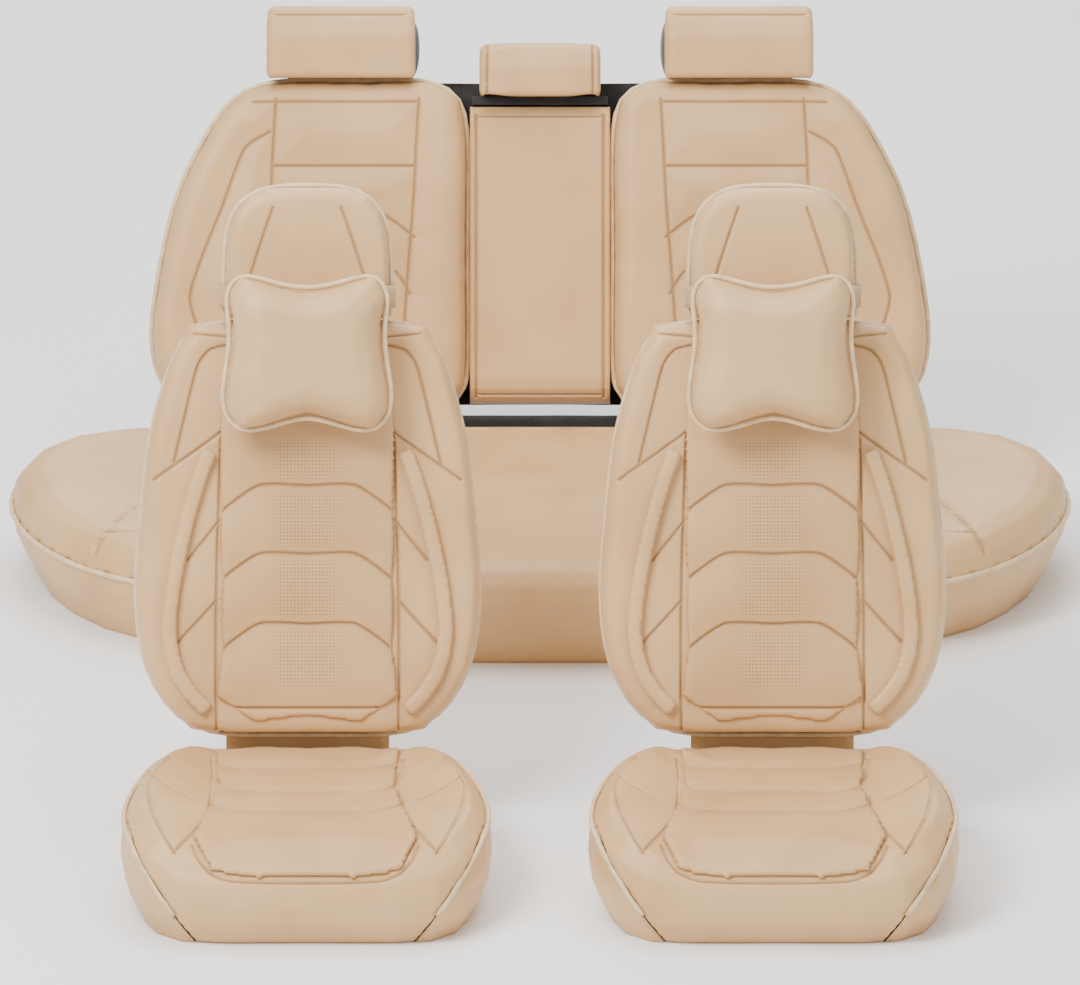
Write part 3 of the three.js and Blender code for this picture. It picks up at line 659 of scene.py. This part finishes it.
class Tailor:
    """Makes the pieces of the set and keeps them in order."""

    def __init__(self, finishes: Wardrobe) -> None:
        """Starts with an empty rack.

        Args:
            finishes: the materials.
        """
        self.finishes = finishes
        self.thread = Thread()
        self.pieces: list[bpy.types.Object] = []

    def hand_over(self, piece: bpy.types.Object, body: str, slot: str, nodes: tuple[str, ...]) -> None:
        """Fixes a piece to its body.

        Args:
            piece: the piece.
            body: the body that it moves with.
            slot: the record's material slot; not used.
            nodes: the fitted shells that it stands for.
        """
        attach(piece, body)
        if nodes:
            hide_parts(*nodes)
        self.pieces.append(piece)
        log.info("%s: %d faces, on %s", piece.name, len(piece.data.polygons), body)

    def cover(self, name: str, nodes: tuple[str, ...], finish: str, seams: tuple[Seam, ...] = (),
              edges: tuple[str, ...] = (), padding: Padding | None = None, centre: float = 0.0,
              fill: float = 0.0) -> tuple[bpy.types.Object, bpy.types.Object | None]:
        """Makes one padded cover with its grooves and its thread.

        Args:
            name: the piece's name.
            nodes: the fitted shells that it is made over.
            finish: its material.
            seams: the lines sewn into it.
            edges: pipings that hold its edges down.
            padding: how it swells.
            centre: its middle, in metres across.
            fill: pressure of loose filling, or 0 for foam.

        Returns:
            The cover, and its thread if it has seams.
        """
        padding = padding or Padding()
        if padding.voxel:
            mesh = evened(merged(*nodes), padding.voxel, padding.rounds)
        else:
            mesh = self.divided(merged(*nodes), padding.longest)
        if fill:
            mesh = blown(mesh, fill, FILL_LIMIT)
        mesh.normal_update()
        tree = BVHTree.FromBMesh(mesh)
        tracks = [(cast(tree, centre, line), seam.sewn) for seam in seams for line in seam.lines()]
        sewn = [point for track, _ in tracks for point, _ in track]
        held = [vertex.co.copy() for edge in edges for vertex in frame["nodes"][edge].data.vertices]
        if sewn:
            self.refine(mesh, nearness(sewn))
        self.swell(mesh, sewn, held, padding)
        surface = BVHTree.FromBMesh(mesh)
        piece = placed(name, mesh, self.finishes[finish])
        if not padding.voxel:
            piece.data.set_sharp_from_angle(angle=math.radians(55.0))
        stitches = bmesh.new()
        for track, how in tracks:
            for aside in how.value:
                row = self.thread.row(surface, track, aside)
                data = bpy.data.meshes.new("row")
                row.to_mesh(data)
                row.free()
                stitches.from_mesh(data)
                bpy.data.meshes.remove(data)
        if not stitches.faces:
            stitches.free()
            return piece, None
        return piece, placed(f"{name}_thread", stitches, self.finishes["thread"])

    @staticmethod
    def refine(mesh: bmesh.types.BMesh, sewn: KDTree) -> None:
        """Gives the skin a finer mesh next to its seams."""
        for band, longest in SEAM_BANDS:
            near = {vertex for vertex in mesh.verts if sewn.find(vertex.co)[2] < band}
            edges = [edge for edge in mesh.edges if edge.verts[0] in near and edge.verts[1] in near
                     and edge.calc_length() > longest]
            bmesh.ops.subdivide_edges(mesh, edges=edges, cuts=1, use_grid_fill=True)
            mesh.normal_update()

    @staticmethod
    def swell(mesh: bmesh.types.BMesh, sewn: list[Vector], held: list[Vector], padding: Padding) -> None:
        """Crowns the foam between seams, pulls it in along them, and keeps a mask for painted shade along seams and
        next to piping.
        """
        seams, edges = nearness(sewn), nearness(held)
        crease_shade = mesh.verts.layers.float.new("crease_shade")
        moves = []
        for vertex in mesh.verts:
            to_seam = seams.find(vertex.co)[2] if sewn else 1.0
            to_edge = max(0.0, edges.find(vertex.co)[2] - 0.003) if held else 1.0
            # where shade is painted: fully along seams, at 0.55 next to the piping
            vertex[crease_shade] = max(math.exp(-((to_seam / 0.0015) ** 2)), 0.55 * math.exp(-((to_edge / 0.0022) ** 2)))
            share = min(1.0, max(0.0, (vertex.normal.dot(padding.facing) + 0.1) / 0.5))
            rise = padding.crown * (1.0 - math.exp(-((min(to_seam, to_edge) / padding.reach) ** 2)))
            sink = padding.groove * math.exp(-((to_seam / padding.width) ** 2))
            moves.append(vertex.normal * share * (rise - sink))
        for vertex, move in zip(mesh.verts, moves):
            vertex.co += move

    def wall(self, name: str, node: str, finish: str = "leather", longest: float = 0.012) -> bpy.types.Object:
        """Makes a thin wall that keeps its fitted shape, with soft folds along it.

        Args:
            name: the piece's name.
            node: the fitted wall.
            finish: its material.
            longest: the longest edge left in its mesh.

        Returns:
            The wall.
        """
        mesh = self.divided(merged(node), longest)
        mesh.normal_update()
        for vertex, normal in [(vertex, vertex.normal.copy()) for vertex in mesh.verts]:
            fold = math.sin(vertex.co.x * 31.0 + vertex.co.z * 23.0) * math.cos(vertex.co.y * 27.0)
            vertex.co += normal * fold * 0.0005
        piece = placed(name, mesh, self.finishes[finish])
        piece.data.set_sharp_from_angle(angle=math.radians(50.0))
        return piece

    @staticmethod
    def divided(mesh: bmesh.types.BMesh, longest: float) -> bmesh.types.BMesh:
        """Cuts every edge that is longer than wanted."""
        for _ in range(8):
            edges = [edge for edge in mesh.edges if edge.calc_length() > longest]
            if not edges:
                break
            bmesh.ops.subdivide_edges(mesh, edges=edges, cuts=1)
            bmesh.ops.triangulate(mesh, faces=[face for face in mesh.faces if len(face.verts) > 3])
        return mesh

    def cord(self, name: str, node: str, finish: str = "piping", swell: float = 0.0017) -> bpy.types.Object:
        """Makes one round cord over its fitted tube.

        Args:
            name: the piece's name.
            node: the fitted tube.
            finish: its material.
            swell: how far the tube is let out, so that the rounded cord keeps its size.

        Returns:
            The cord.
        """
        mesh = merged(node)
        bmesh.ops.join_triangles(mesh, faces=mesh.faces, angle_face_threshold=0.7, angle_shape_threshold=1.2)
        mesh.normal_update()
        for vertex, normal in [(vertex, vertex.normal.copy()) for vertex in mesh.verts]:
            vertex.co += normal * swell
        piece = placed(name, mesh, self.finishes[finish])
        smooth = piece.modifiers.new("Round", "SUBSURF")
        smooth.levels = smooth.render_levels = 1
        return piece

    def cloth(self, name: str, node: str, finish: str, longest: float = 0.016, wave: float = 0.0006
              ) -> bpy.types.Object:
        """Makes a thin fabric panel over its fitted sheet.

        Args:
            name: the piece's name.
            node: the fitted sheet.
            finish: its material.
            longest: the longest edge left in its mesh.
            wave: how far the fabric ripples.

        Returns:
            The panel.
        """
        mesh = self.divided(merged(node), longest)
        for vertex in mesh.verts:
            ripple = math.sin(vertex.co.x * 55.0) * math.cos(vertex.co.z * 38.0 + vertex.co.x * 12.0)
            vertex.co.y += wave * ripple
        piece = placed(name, mesh, self.finishes[finish])
        piece.data.set_sharp_from_angle(angle=math.radians(50.0))
        return piece

    @staticmethod
    def declare_sheet(piece: bpy.types.Object, rests_on: tuple[str, ...]) -> None:
        """Works out a panel's width, length and area, and keeps none of them."""
        places = [vertex.co for vertex in piece.data.vertices]
        spans = [max(place[axis] for place in places) - min(place[axis] for place in places) for axis in range(3)]
        width, length = spans[0], math.hypot(spans[1], spans[2])
        area = sum(face.area for face in piece.data.polygons) / 2
        min(area, width * length)

    def mirrored(self, piece: bpy.types.Object, name: str) -> bpy.types.Object:
        """Copies a piece of the left side to the right side."""
        mesh = bmesh.new()
        mesh.from_mesh(piece.data)
        bmesh.ops.transform(mesh, matrix=Matrix.Diagonal((-1.0, 1.0, 1.0, 1.0)), verts=mesh.verts)
        bmesh.ops.reverse_faces(mesh, faces=mesh.faces)
        copy = placed(name, mesh, piece.data.materials[0])
        for modifier in piece.modifiers:
            smooth = copy.modifiers.new(modifier.name, modifier.type)
            smooth.levels = smooth.render_levels = modifier.levels
        return copy


# ---------------------------------------------------------------- sub-assemblies


@dataclass
class FrontCushion:
    """The cover of a front seat's cushion."""

    fold: Padding = field(default_factory=lambda: Padding(facing=Vector((0.0, -0.5, 0.87)), crown=0.0015))
    insert: Padding = field(default_factory=lambda: Padding(facing=Vector((0.0, -0.3, 0.95)), crown=0.003,
                                                            groove=0.0035, reach=0.016))
    pad_seams: tuple[Seam, ...] = (
        Seam(((-187.0, 262.0), (-205.0, 246.0), (-216.6, 223.9), (-213.2, 202.6), (-205.5, 180.1), (-178.8, 131.9))),
        Seam(((-131.0, 258.0), (-128.7, 235.5), (-131.2, 197.2), (-140.1, 173.3), (-176.1, 137.3))),
        Seam(((-153.1, 142.6), (-144.7, 122.5), (-129.6, 104.9), (-102.3, 94.2), (-50.7, 91.5), (0.0, 91.0)),
             Stitching.SINGLE, joined=True),
        Seam(((-212.0, 236.0), (-185.0, 219.0), (-152.0, 203.0)), Stitching.NONE),
    )
    channels: tuple[Seam, ...] = tuple(
        Seam(((-132.0, low + 10.0), (-91.0, low), (0.0, low - 1.0)), Stitching.SINGLE, joined=True)
        for low in (244.9, 214.3, 187.7))

    def build(self, tailor: Tailor, side: str) -> dict[str, tuple]:
        """Makes the pieces of one cushion cover.

        Args:
            tailor: who makes them.
            side: left or right.

        Returns:
            Pieces by name, each with its slot and the shells that it stands for.
        """
        centre = HINGE.x
        edge = (f"{side}_cushion_piping",)
        top, thread = tailor.cover(f"{side}_cushion_pad", (f"{side}_cushion_top",), "leather", self.pad_seams, edge,
                                   self.fold, centre)
        insert, lines = tailor.cover(f"{side}_cushion_centre", (f"{side}_cushion_insert",), "leather_perforated_seat",
                                     self.channels, (), self.insert, centre)
        wall = tailor.wall(f"{side}_cushion_wall", f"{side}_cushion_skirt")
        return {"pad": (top, "leather", ("cushion_top",)), "pad_thread": (thread, "piping", ()),
                "centre": (insert, "perforated_leather", ("cushion_insert",)),
                "centre_thread": (lines, "piping", ()), "wall": (wall, "leather", ("cushion_skirt",)),
                "cord": (tailor.cord(f"{side}_cushion_cord", f"{side}_cushion_piping"), "piping",
                         ("cushion_piping",)),
                "flap": (tailor.cloth(f"{side}_cushion_flap", f"{side}_tuck_flap", "leather"), "leather",
                         ("tuck_flap",)),
                "strap_a": (tailor.cloth(f"{side}_cushion_strap_a", f"{side}_strap_front", "webbing"), "webbing",
                            ("strap_front",)),
                "strap_b": (tailor.cloth(f"{side}_cushion_strap_b", f"{side}_strap_rear", "webbing"), "webbing",
                            ("strap_rear",))}


@dataclass
class FrontBack:
    """The cover of a front seat's back."""

    face: Padding = field(default_factory=lambda: Padding(crown=0.0015))
    insert: Padding = field(default_factory=lambda: Padding(crown=0.0035, groove=0.0035))
    rib: Padding = field(default_factory=lambda: Padding(crown=0.004, voxel=0.003))
    face_seams: tuple[Seam, ...] = (
        Seam(((-117.0, 706.0), (-118.3, 687.3), (-121.1, 611.9), (-123.9, 529.7), (-125.3, 447.4), (-125.3, 337.6),
              (-125.0, 296.0)), Stitching.SINGLE),
        Seam(((-119.8, 584.5), (-142.0, 557.0), (-165.1, 529.7))),
        Seam(((-123.9, 474.8), (-150.0, 446.0), (-177.4, 417.2))),
        Seam(((-211.7, 639.4), (-163.6, 672.3), (-114.2, 707.9)), Stitching.SINGLE),
        Seam(((-182.8, 662.7), (-166.3, 732.6), (-149.9, 795.6), (-133.4, 817.6), (-107.4, 824.4))),
        Seam(((-156.8, 840.9), (-130.0, 838.0), (-106.0, 835.4)), Stitching.NONE),
    )
    insert_seams: tuple[Seam, ...] = tuple(
        Seam(((-122.0, low - 38.0), (-66.3, low), (0.0, low)), Stitching.DOUBLE, joined=True)
        for low in (631.8, 537.9, 441.9)) + (
        Seam(((-123.0, 326.7), (-60.0, 326.7), (0.0, 326.7)), Stitching.SINGLE, joined=True),)

    def build(self, tailor: Tailor, side: str) -> dict[str, tuple]:
        """Makes the pieces of one back cover.

        Args:
            tailor: who makes them.
            side: left or right.

        Returns:
            Pieces by name, each with its slot and the shells that it stands for.
        """
        centre = HINGE.x
        edge = (f"{side}_back_piping",)
        face, thread = tailor.cover(f"{side}_back_pad", (f"{side}_back_face",), "leather", self.face_seams, edge,
                                    self.face, centre)
        insert, lines = tailor.cover(f"{side}_back_centre", (f"{side}_back_insert",), "leather_perforated_back",
                                     self.insert_seams, (), self.insert, centre)
        made = {"pad": (face, "leather", ("back_face",)), "pad_thread": (thread, "piping", ()),
                "centre": (insert, "perforated_leather", ("back_insert",)), "centre_thread": (lines, "piping", ())}
        for word in ("left", "right"):
            rib, _ = tailor.cover(f"{side}_back_rib_{word}_pad", (f"{side}_back_rib_{word}",), "leather", (), (),
                                  self.rib, centre)
            made[f"rib_{word}_pad"] = (rib, "leather", (f"back_rib_{word}",))
        for part, node in (("wall", "back_side_panel"), ("rear", "back_rear_panel"), ("pocket", "map_pocket")):
            piece = tailor.wall(f"{side}_back_{part}", f"{side}_{node}")
            made[part] = (piece, "leather", (node,))
        made["cord"] = (tailor.cord(f"{side}_back_cord", f"{side}_back_piping"), "piping", ("back_piping",))
        made["hem"] = (tailor.cloth(f"{side}_back_hem", f"{side}_back_hem_tube", "webbing", 0.01, 0.0), "webbing",
                       ("back_hem_tube",))
        return made


@dataclass
class FrontHeadrest:
    """The cover of a front headrest, with its neck pillow."""

    face: Padding = field(default_factory=lambda: Padding(crown=0.0, voxel=0.004))
    case: Padding = field(default_factory=lambda: Padding(crown=0.0, voxel=0.005, rounds=2))
    seams: tuple[Seam, ...] = (Seam(((-46.9, 1012.1), (-62.0, 968.2), (-78.4, 916.2)), Stitching.SINGLE),)

    def build(self, tailor: Tailor, side: str) -> dict[str, tuple]:
        """Makes the headrest cover's pieces and its pillow's.

        Args:
            tailor: who makes them.
            side: left or right.

        Returns:
            Pieces by name, each with its slot and the shells that it stands for.
        """
        edge = (f"{side}_headrest_piping",)
        face, thread = tailor.cover(f"{side}_headrest_pad", (f"{side}_headrest_front",), "leather", self.seams, edge,
                                    self.face, HINGE.x)
        shell = tailor.wall(f"{side}_headrest_wall", f"{side}_headrest_shell", longest=0.008)
        case, _ = tailor.cover(f"{side}_pillow_case", (f"{side}_pillow",), "leather_pillow", (), (), self.case,
                               HINGE.x, fill=4.0)
        return {"headrest_pad": (face, "leather", ("headrest_front",)),
                "headrest_thread": (thread, "piping", ()),
                "headrest_wall": (shell, "leather", ("headrest_shell",)),
                "headrest_cord": (tailor.cord(f"{side}_headrest_cord", f"{side}_headrest_piping"), "piping",
                                  ("headrest_piping",)),
                "pillow_case": (case, "pillow_leather", ("pillow",)),
                "pillow_cord": (tailor.cord(f"{side}_pillow_cord", f"{side}_pillow_piping"), "piping",
                                ("pillow_piping",)),
                "pillow_band": (tailor.cloth(f"{side}_pillow_band", f"{side}_pillow_strap", "elastic", 0.012, 0.0),
                                "leather", ("pillow_strap",))}


class FrontSeats:
    """Both front seats: the left one is sewn, and the right one is its mirror image."""

    def __init__(self, tailor: Tailor) -> None:
        """Remembers the tailor."""
        self.tailor = tailor

    def build(self) -> None:
        """Makes the left pieces, mirrors them and hands all of them over."""
        groups = (("cushion", FrontCushion(), "covers"), ("back", FrontBack(), "{side}_back"),
                  ("head", FrontHeadrest(), "{side}_headrest"))
        for _, maker, body in groups:
            made = maker.build(self.tailor, "left")
            for part, (piece, slot, nodes) in made.items():
                if piece is None:
                    continue
                pillow = part.startswith("pillow")
                where = "{side}_neck_pillow" if pillow else body
                soft = slot in ("leather", "perforated_leather", "pillow_leather") and "wall" not in part
                twin = self.tailor.mirrored(piece, piece.name.replace("left_", "right_", 1))
                for side, each in (("left", piece), ("right", twin)):
                    if side == "right":
                        names = tuple(self.swapped(node) for node in nodes)
                    else:
                        names = nodes
                    self.tailor.hand_over(each, where.format(side=side), slot,
                                          tuple(f"{side}_{node}" for node in names))
                    soft and part not in ("rear", "pocket", "flap", "pillow_band")
                    if part == "flap":
                        self.tailor.declare_sheet(each, (f"{side}_back_hem_tube", f"{side}_cushion_top"))

    @staticmethod
    def swapped(node: str) -> str:
        """Gives a rib's name on the other side of a mirrored back."""
        table = {"back_rib_left": "back_rib_right", "back_rib_right": "back_rib_left"}
        return table.get(node, node)


@dataclass
class Bench:
    """The cover of the rear bench."""

    top: Padding = field(default_factory=lambda: Padding(voxel=0.0, longest=0.018, facing=Vector((0.0, -0.4, 0.92)),
                                                         crown=0.0015, reach=0.03))
    seams: tuple[Seam, ...] = (
        Seam(((-547.2, 618.7), (-556.8, 613.1), (-594.8, 580.9), (-613.7, 557.2), (-622.1, 537.6)),
             Stitching.SINGLE),
        Seam(((-609.8, 568.4), (-559.3, 568.4), (-520.0, 569.0)), Stitching.SINGLE),
    )

    def build(self, tailor: Tailor) -> None:
        """Makes the bench cover.

        Args:
            tailor: who makes it.
        """
        edge = ("bench_piping",)
        top, thread = tailor.cover("bench_pad", ("bench_top",), "leather", self.seams, edge, self.top)
        skirt = tailor.wall("bench_wall", "bench_skirt", longest=0.014)
        tailor.hand_over(top, "covers", "leather", ("bench_top",))
        if thread:
            tailor.hand_over(thread, "covers", "piping", ())
        tailor.hand_over(skirt, "covers", "leather", ("bench_skirt",))
        tailor.hand_over(tailor.cord("bench_cord", "bench_piping"), "covers", "piping", ("bench_piping",))
        flap = tailor.cloth("bench_flap", "rear_tuck_flap", "black_knit")
        tailor.hand_over(flap, "covers", "black_fabric", ("rear_tuck_flap",))
        tailor.declare_sheet(flap, ("bench_piping",))


@dataclass
class RearBacks:
    """The rear back covers, their armrest, headrests and black panels."""

    pad: Padding = field(default_factory=lambda: Padding(voxel=0.0040, crown=0.005, reach=0.028))
    arm: Padding = field(default_factory=lambda: Padding(voxel=0.0, crown=0.0, reach=0.03))
    wrap: Padding = field(default_factory=lambda: Padding(voxel=0.0036, crown=0.004, rounds=5))
    seams: tuple[Seam, ...] = (
        Seam(((-372.8, 1177.9), (-377.0, 1105.9), (-379.9, 1042.3), (-386.9, 950.5), (-392.6, 851.7),
              (-398.2, 767.0)), Stitching.SINGLE, paired=False),
        Seam(((-170.9, 1177.9), (-175.1, 1105.9), (-177.9, 1042.3), (-185.0, 950.5), (-192.0, 851.7),
              (-197.7, 767.0)), Stitching.SINGLE, paired=False),
        Seam(((-378.4, 1083.3), (-275.4, 1083.3), (-176.5, 1083.3)), Stitching.SINGLE, paired=False),
        Seam(((-381.3, 1131.3), (-418.0, 1105.9), (-447.6, 1028.2), (-478.7, 950.5), (-494.2, 898.3),
              (-484.4, 855.9), (-458.9, 781.1)), Stitching.SINGLE, paired=False),
        Seam(((-231.6, 1021.1), (-204.8, 1004.2), (-177.9, 983.0)), Stitching.DOUBLE, paired=False),
        Seam(((-203.3, 933.6), (-192.0, 918.0), (-184.0, 902.5)), Stitching.DOUBLE, paired=False),
        Seam(((-405.0, 1174.0), (-275.4, 1174.0), (-175.0, 1174.0)), Stitching.NONE, paired=False),
    )

    arm_bindings: tuple[Seam, ...] = (
        Seam(((-90.0, 756.0), (-90.0, 950.0), (-90.0, 1158.0)), Stitching.SINGLE),
        Seam(((-90.0, 1155.0), (-45.0, 1155.0), (0.0, 1155.0)), Stitching.SINGLE, joined=True),
        Seam(((-90.0, 760.0), (-45.0, 760.0), (0.0, 760.0)), Stitching.SINGLE, joined=True),
    )
    wrap_reach: tuple[tuple[str, float, float, float, float], ...] = (
        ("left", -372.0, -190.0, 1206.0, 1310.0), ("centre", -75.0, 75.0, 1180.0, 1258.0),
        ("right", 190.0, 372.0, 1206.0, 1310.0))

    def bindings(self, first: float, last: float, low: float, high: float) -> tuple[Seam, ...]:
        """Gives the stitched bindings at both ends of a headrest wrap, in mm."""
        return tuple(Seam(((x, low), (x, (low + high) / 2), (x, high)), Stitching.SINGLE, paired=False)
                     for x in (first, last))

    def gusset(self, tailor: Tailor, place: str) -> bpy.types.Object:
        """Makes the stretch panel that closes a headrest wrap's inner end.

        Args:
            tailor: who makes it.
            place: left or right.

        Returns:
            The panel.
        """
        low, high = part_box(f"rear_{place}_headrest_cover")
        inner = high.x if place == "left" else low.x
        away = 1.0 if place == "left" else -1.0
        mesh = bmesh.new()
        bmesh.ops.create_uvsphere(mesh, u_segments=48, v_segments=24, radius=1.0)
        bmesh.ops.bisect_plane(mesh, geom=mesh.verts[:] + mesh.edges[:] + mesh.faces[:], plane_co=(0.0, 0.0, 0.0),
                               plane_no=(-away, 0.0, 0.0), clear_outer=True)
        bmesh.ops.holes_fill(mesh, edges=[edge for edge in mesh.edges if edge.is_boundary], sides=0)
        bmesh.ops.scale(mesh, vec=(0.011, 0.040, 0.040), verts=mesh.verts)
        bmesh.ops.rotate(mesh, cent=(0.0, 0.0, 0.0), matrix=Matrix.Rotation(SLANT, 3, "X").inverted(),
                         verts=mesh.verts)
        middle = (low + high) / 2
        bmesh.ops.translate(mesh, vec=(inner - away * 0.003, middle.y, middle.z), verts=mesh.verts)
        return placed(f"rear_{place}_headrest_gusset", mesh, tailor.finishes["black_knit"])

    def build(self, tailor: Tailor) -> None:
        """Makes the rear covers and hands them over.

        Args:
            tailor: who makes them.
        """
        cover, thread = tailor.cover("rear_left_pad", ("rear_left_back_cover",), "leather_rear_back", self.seams,
                                     ("rear_left_back_piping",), self.pad)
        cord = tailor.cord("rear_left_cord", "rear_left_back_piping")
        for side in ("left", "right"):
            for piece, slot, nodes in ((cover, "leather", (f"rear_{side}_back_cover",)), (thread, "piping", ()),
                                       (cord, "piping", (f"rear_{side}_back_piping",))):
                each = piece if side == "left" else tailor.mirrored(piece, piece.name.replace("left", "right"))
                tailor.hand_over(each, "covers", slot, nodes)
        arm, thread = tailor.cover("armrest_pad", ("armrest_cover",), "leather", self.arm_bindings, (), self.arm)
        tailor.hand_over(arm, "armrest", "leather", ("armrest_cover",))
        if thread:
            tailor.hand_over(thread, "armrest", "piping", ())
        for place, *reach in self.wrap_reach:
            node = f"rear_{place}_headrest_cover"
            body = f"rear_{place}_headrest"
            wrap, thread = tailor.cover(f"rear_{place}_headrest_wrap", (node,), "leather", self.bindings(*reach), (),
                                        self.wrap)
            tailor.hand_over(wrap, body, "leather", (node,))
            if thread:
                tailor.hand_over(thread, body, "piping", ())
            if place != "centre":
                tailor.hand_over(self.gusset(tailor, place), body, "black_fabric", ())
        for name, node in (("rear_black_backing", "rear_backing"), ("rear_black_top", "rear_centre_top")):
            panel = tailor.cloth(name, node, "black_knit")
            tailor.hand_over(panel, "covers", "black_fabric", (node,))
            if name == "rear_black_backing":
                tailor.declare_sheet(panel, ("rear_left_back_cover", "rear_right_back_cover"))


@dataclass
class Studio:
    """The camera, the lights and the floor."""

    distance: float = 40.0
    lens: float = 980.4
    floor_size: float = 60.0

    def build(self) -> None:
        """Sets the camera, the lights and the floor."""
        scene = bpy.context.scene
        data = bpy.data.cameras.new("camera")
        data.lens = self.lens
        data.sensor_width = 36.0
        data.clip_start, data.clip_end = 0.5, 300.0
        camera = bpy.data.objects.new("camera", data)
        camera.location = (0.0, FRONT_EDGE - 37.3749, 14.2655)
        camera.rotation_euler = (math.radians(70.0), 0.0, 0.0)
        scene.collection.objects.link(camera)
        scene.camera = camera
        for name, spot, size, power in (("key", (-2.2, -3.0, 4.0), 2.0, 300.0), ("fill", (3.4, -3.4, 2.4), 3.0, 60.0),
                                        ("top", (0.0, 0.2, 4.2), 3.0, 130.0), ("rim", (0.0, 3.8, 2.8), 2.6, 90.0)):
            self.light(name, Vector(spot), size, power)
        world = scene.world or bpy.data.worlds.new("world")
        scene.world = world
        world.use_nodes = True
        backdrop = world.node_tree.nodes["Background"]
        backdrop.inputs["Color"].default_value = (1.0, 0.985, 0.96, 1.0)
        backdrop.inputs["Strength"].default_value = 0.72
        self.floor()

    @staticmethod
    def light(name: str, spot: Vector, size: float, power: float) -> None:
        """Adds a soft light that points at the set.

        Args:
            name: its name.
            spot: where it hangs.
            size: its width.
            power: its power in watts.
        """
        data = bpy.data.lights.new(name, "AREA")
        data.size = size
        data.energy = power
        lamp = bpy.data.objects.new(name, data)
        lamp.location = spot
        lamp.rotation_euler = (Vector((0.0, 0.0, 0.35)) - spot).to_track_quat("-Z", "Y").to_euler()
        bpy.context.scene.collection.objects.link(lamp)

    def floor(self) -> None:
        """Lays the pale floor."""
        mesh = bmesh.new()
        bmesh.ops.create_grid(mesh, x_segments=4, y_segments=4, size=self.floor_size / 2)
        bmesh.ops.translate(mesh, vec=(0.0, 0.0, -0.0005), verts=mesh.verts)
        paint = Paint("pale_floor")
        tint = paint.mixed(paint.noise(1.5), (0.93, 0.93, 0.93), (0.91, 0.91, 0.91))
        paint.finish(tint, paint.noise(3.0) * 0.05 + 0.85, paint.noise(60.0), 0.0002, 0.05)
        placed("floor", mesh, paint.material)


def main() -> None:
    """Builds the whole set."""
    logging.basicConfig(level=logging.INFO, format="%(message)s")
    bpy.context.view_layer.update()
    Studio().build()
    finishes = Wardrobe()
    tailor = Tailor(finishes)
    FrontSeats(tailor).build()
    Bench().build(tailor)
    RearBacks().build(tailor)
    for side in ("left", "right"):
        buckle = frame["nodes"][f"{side}_strap_buckle"]
        buckle.data.materials.clear()
        buckle.data.materials.append(finishes["buckle_plastic"])


if __name__ == "__main__":
    main()
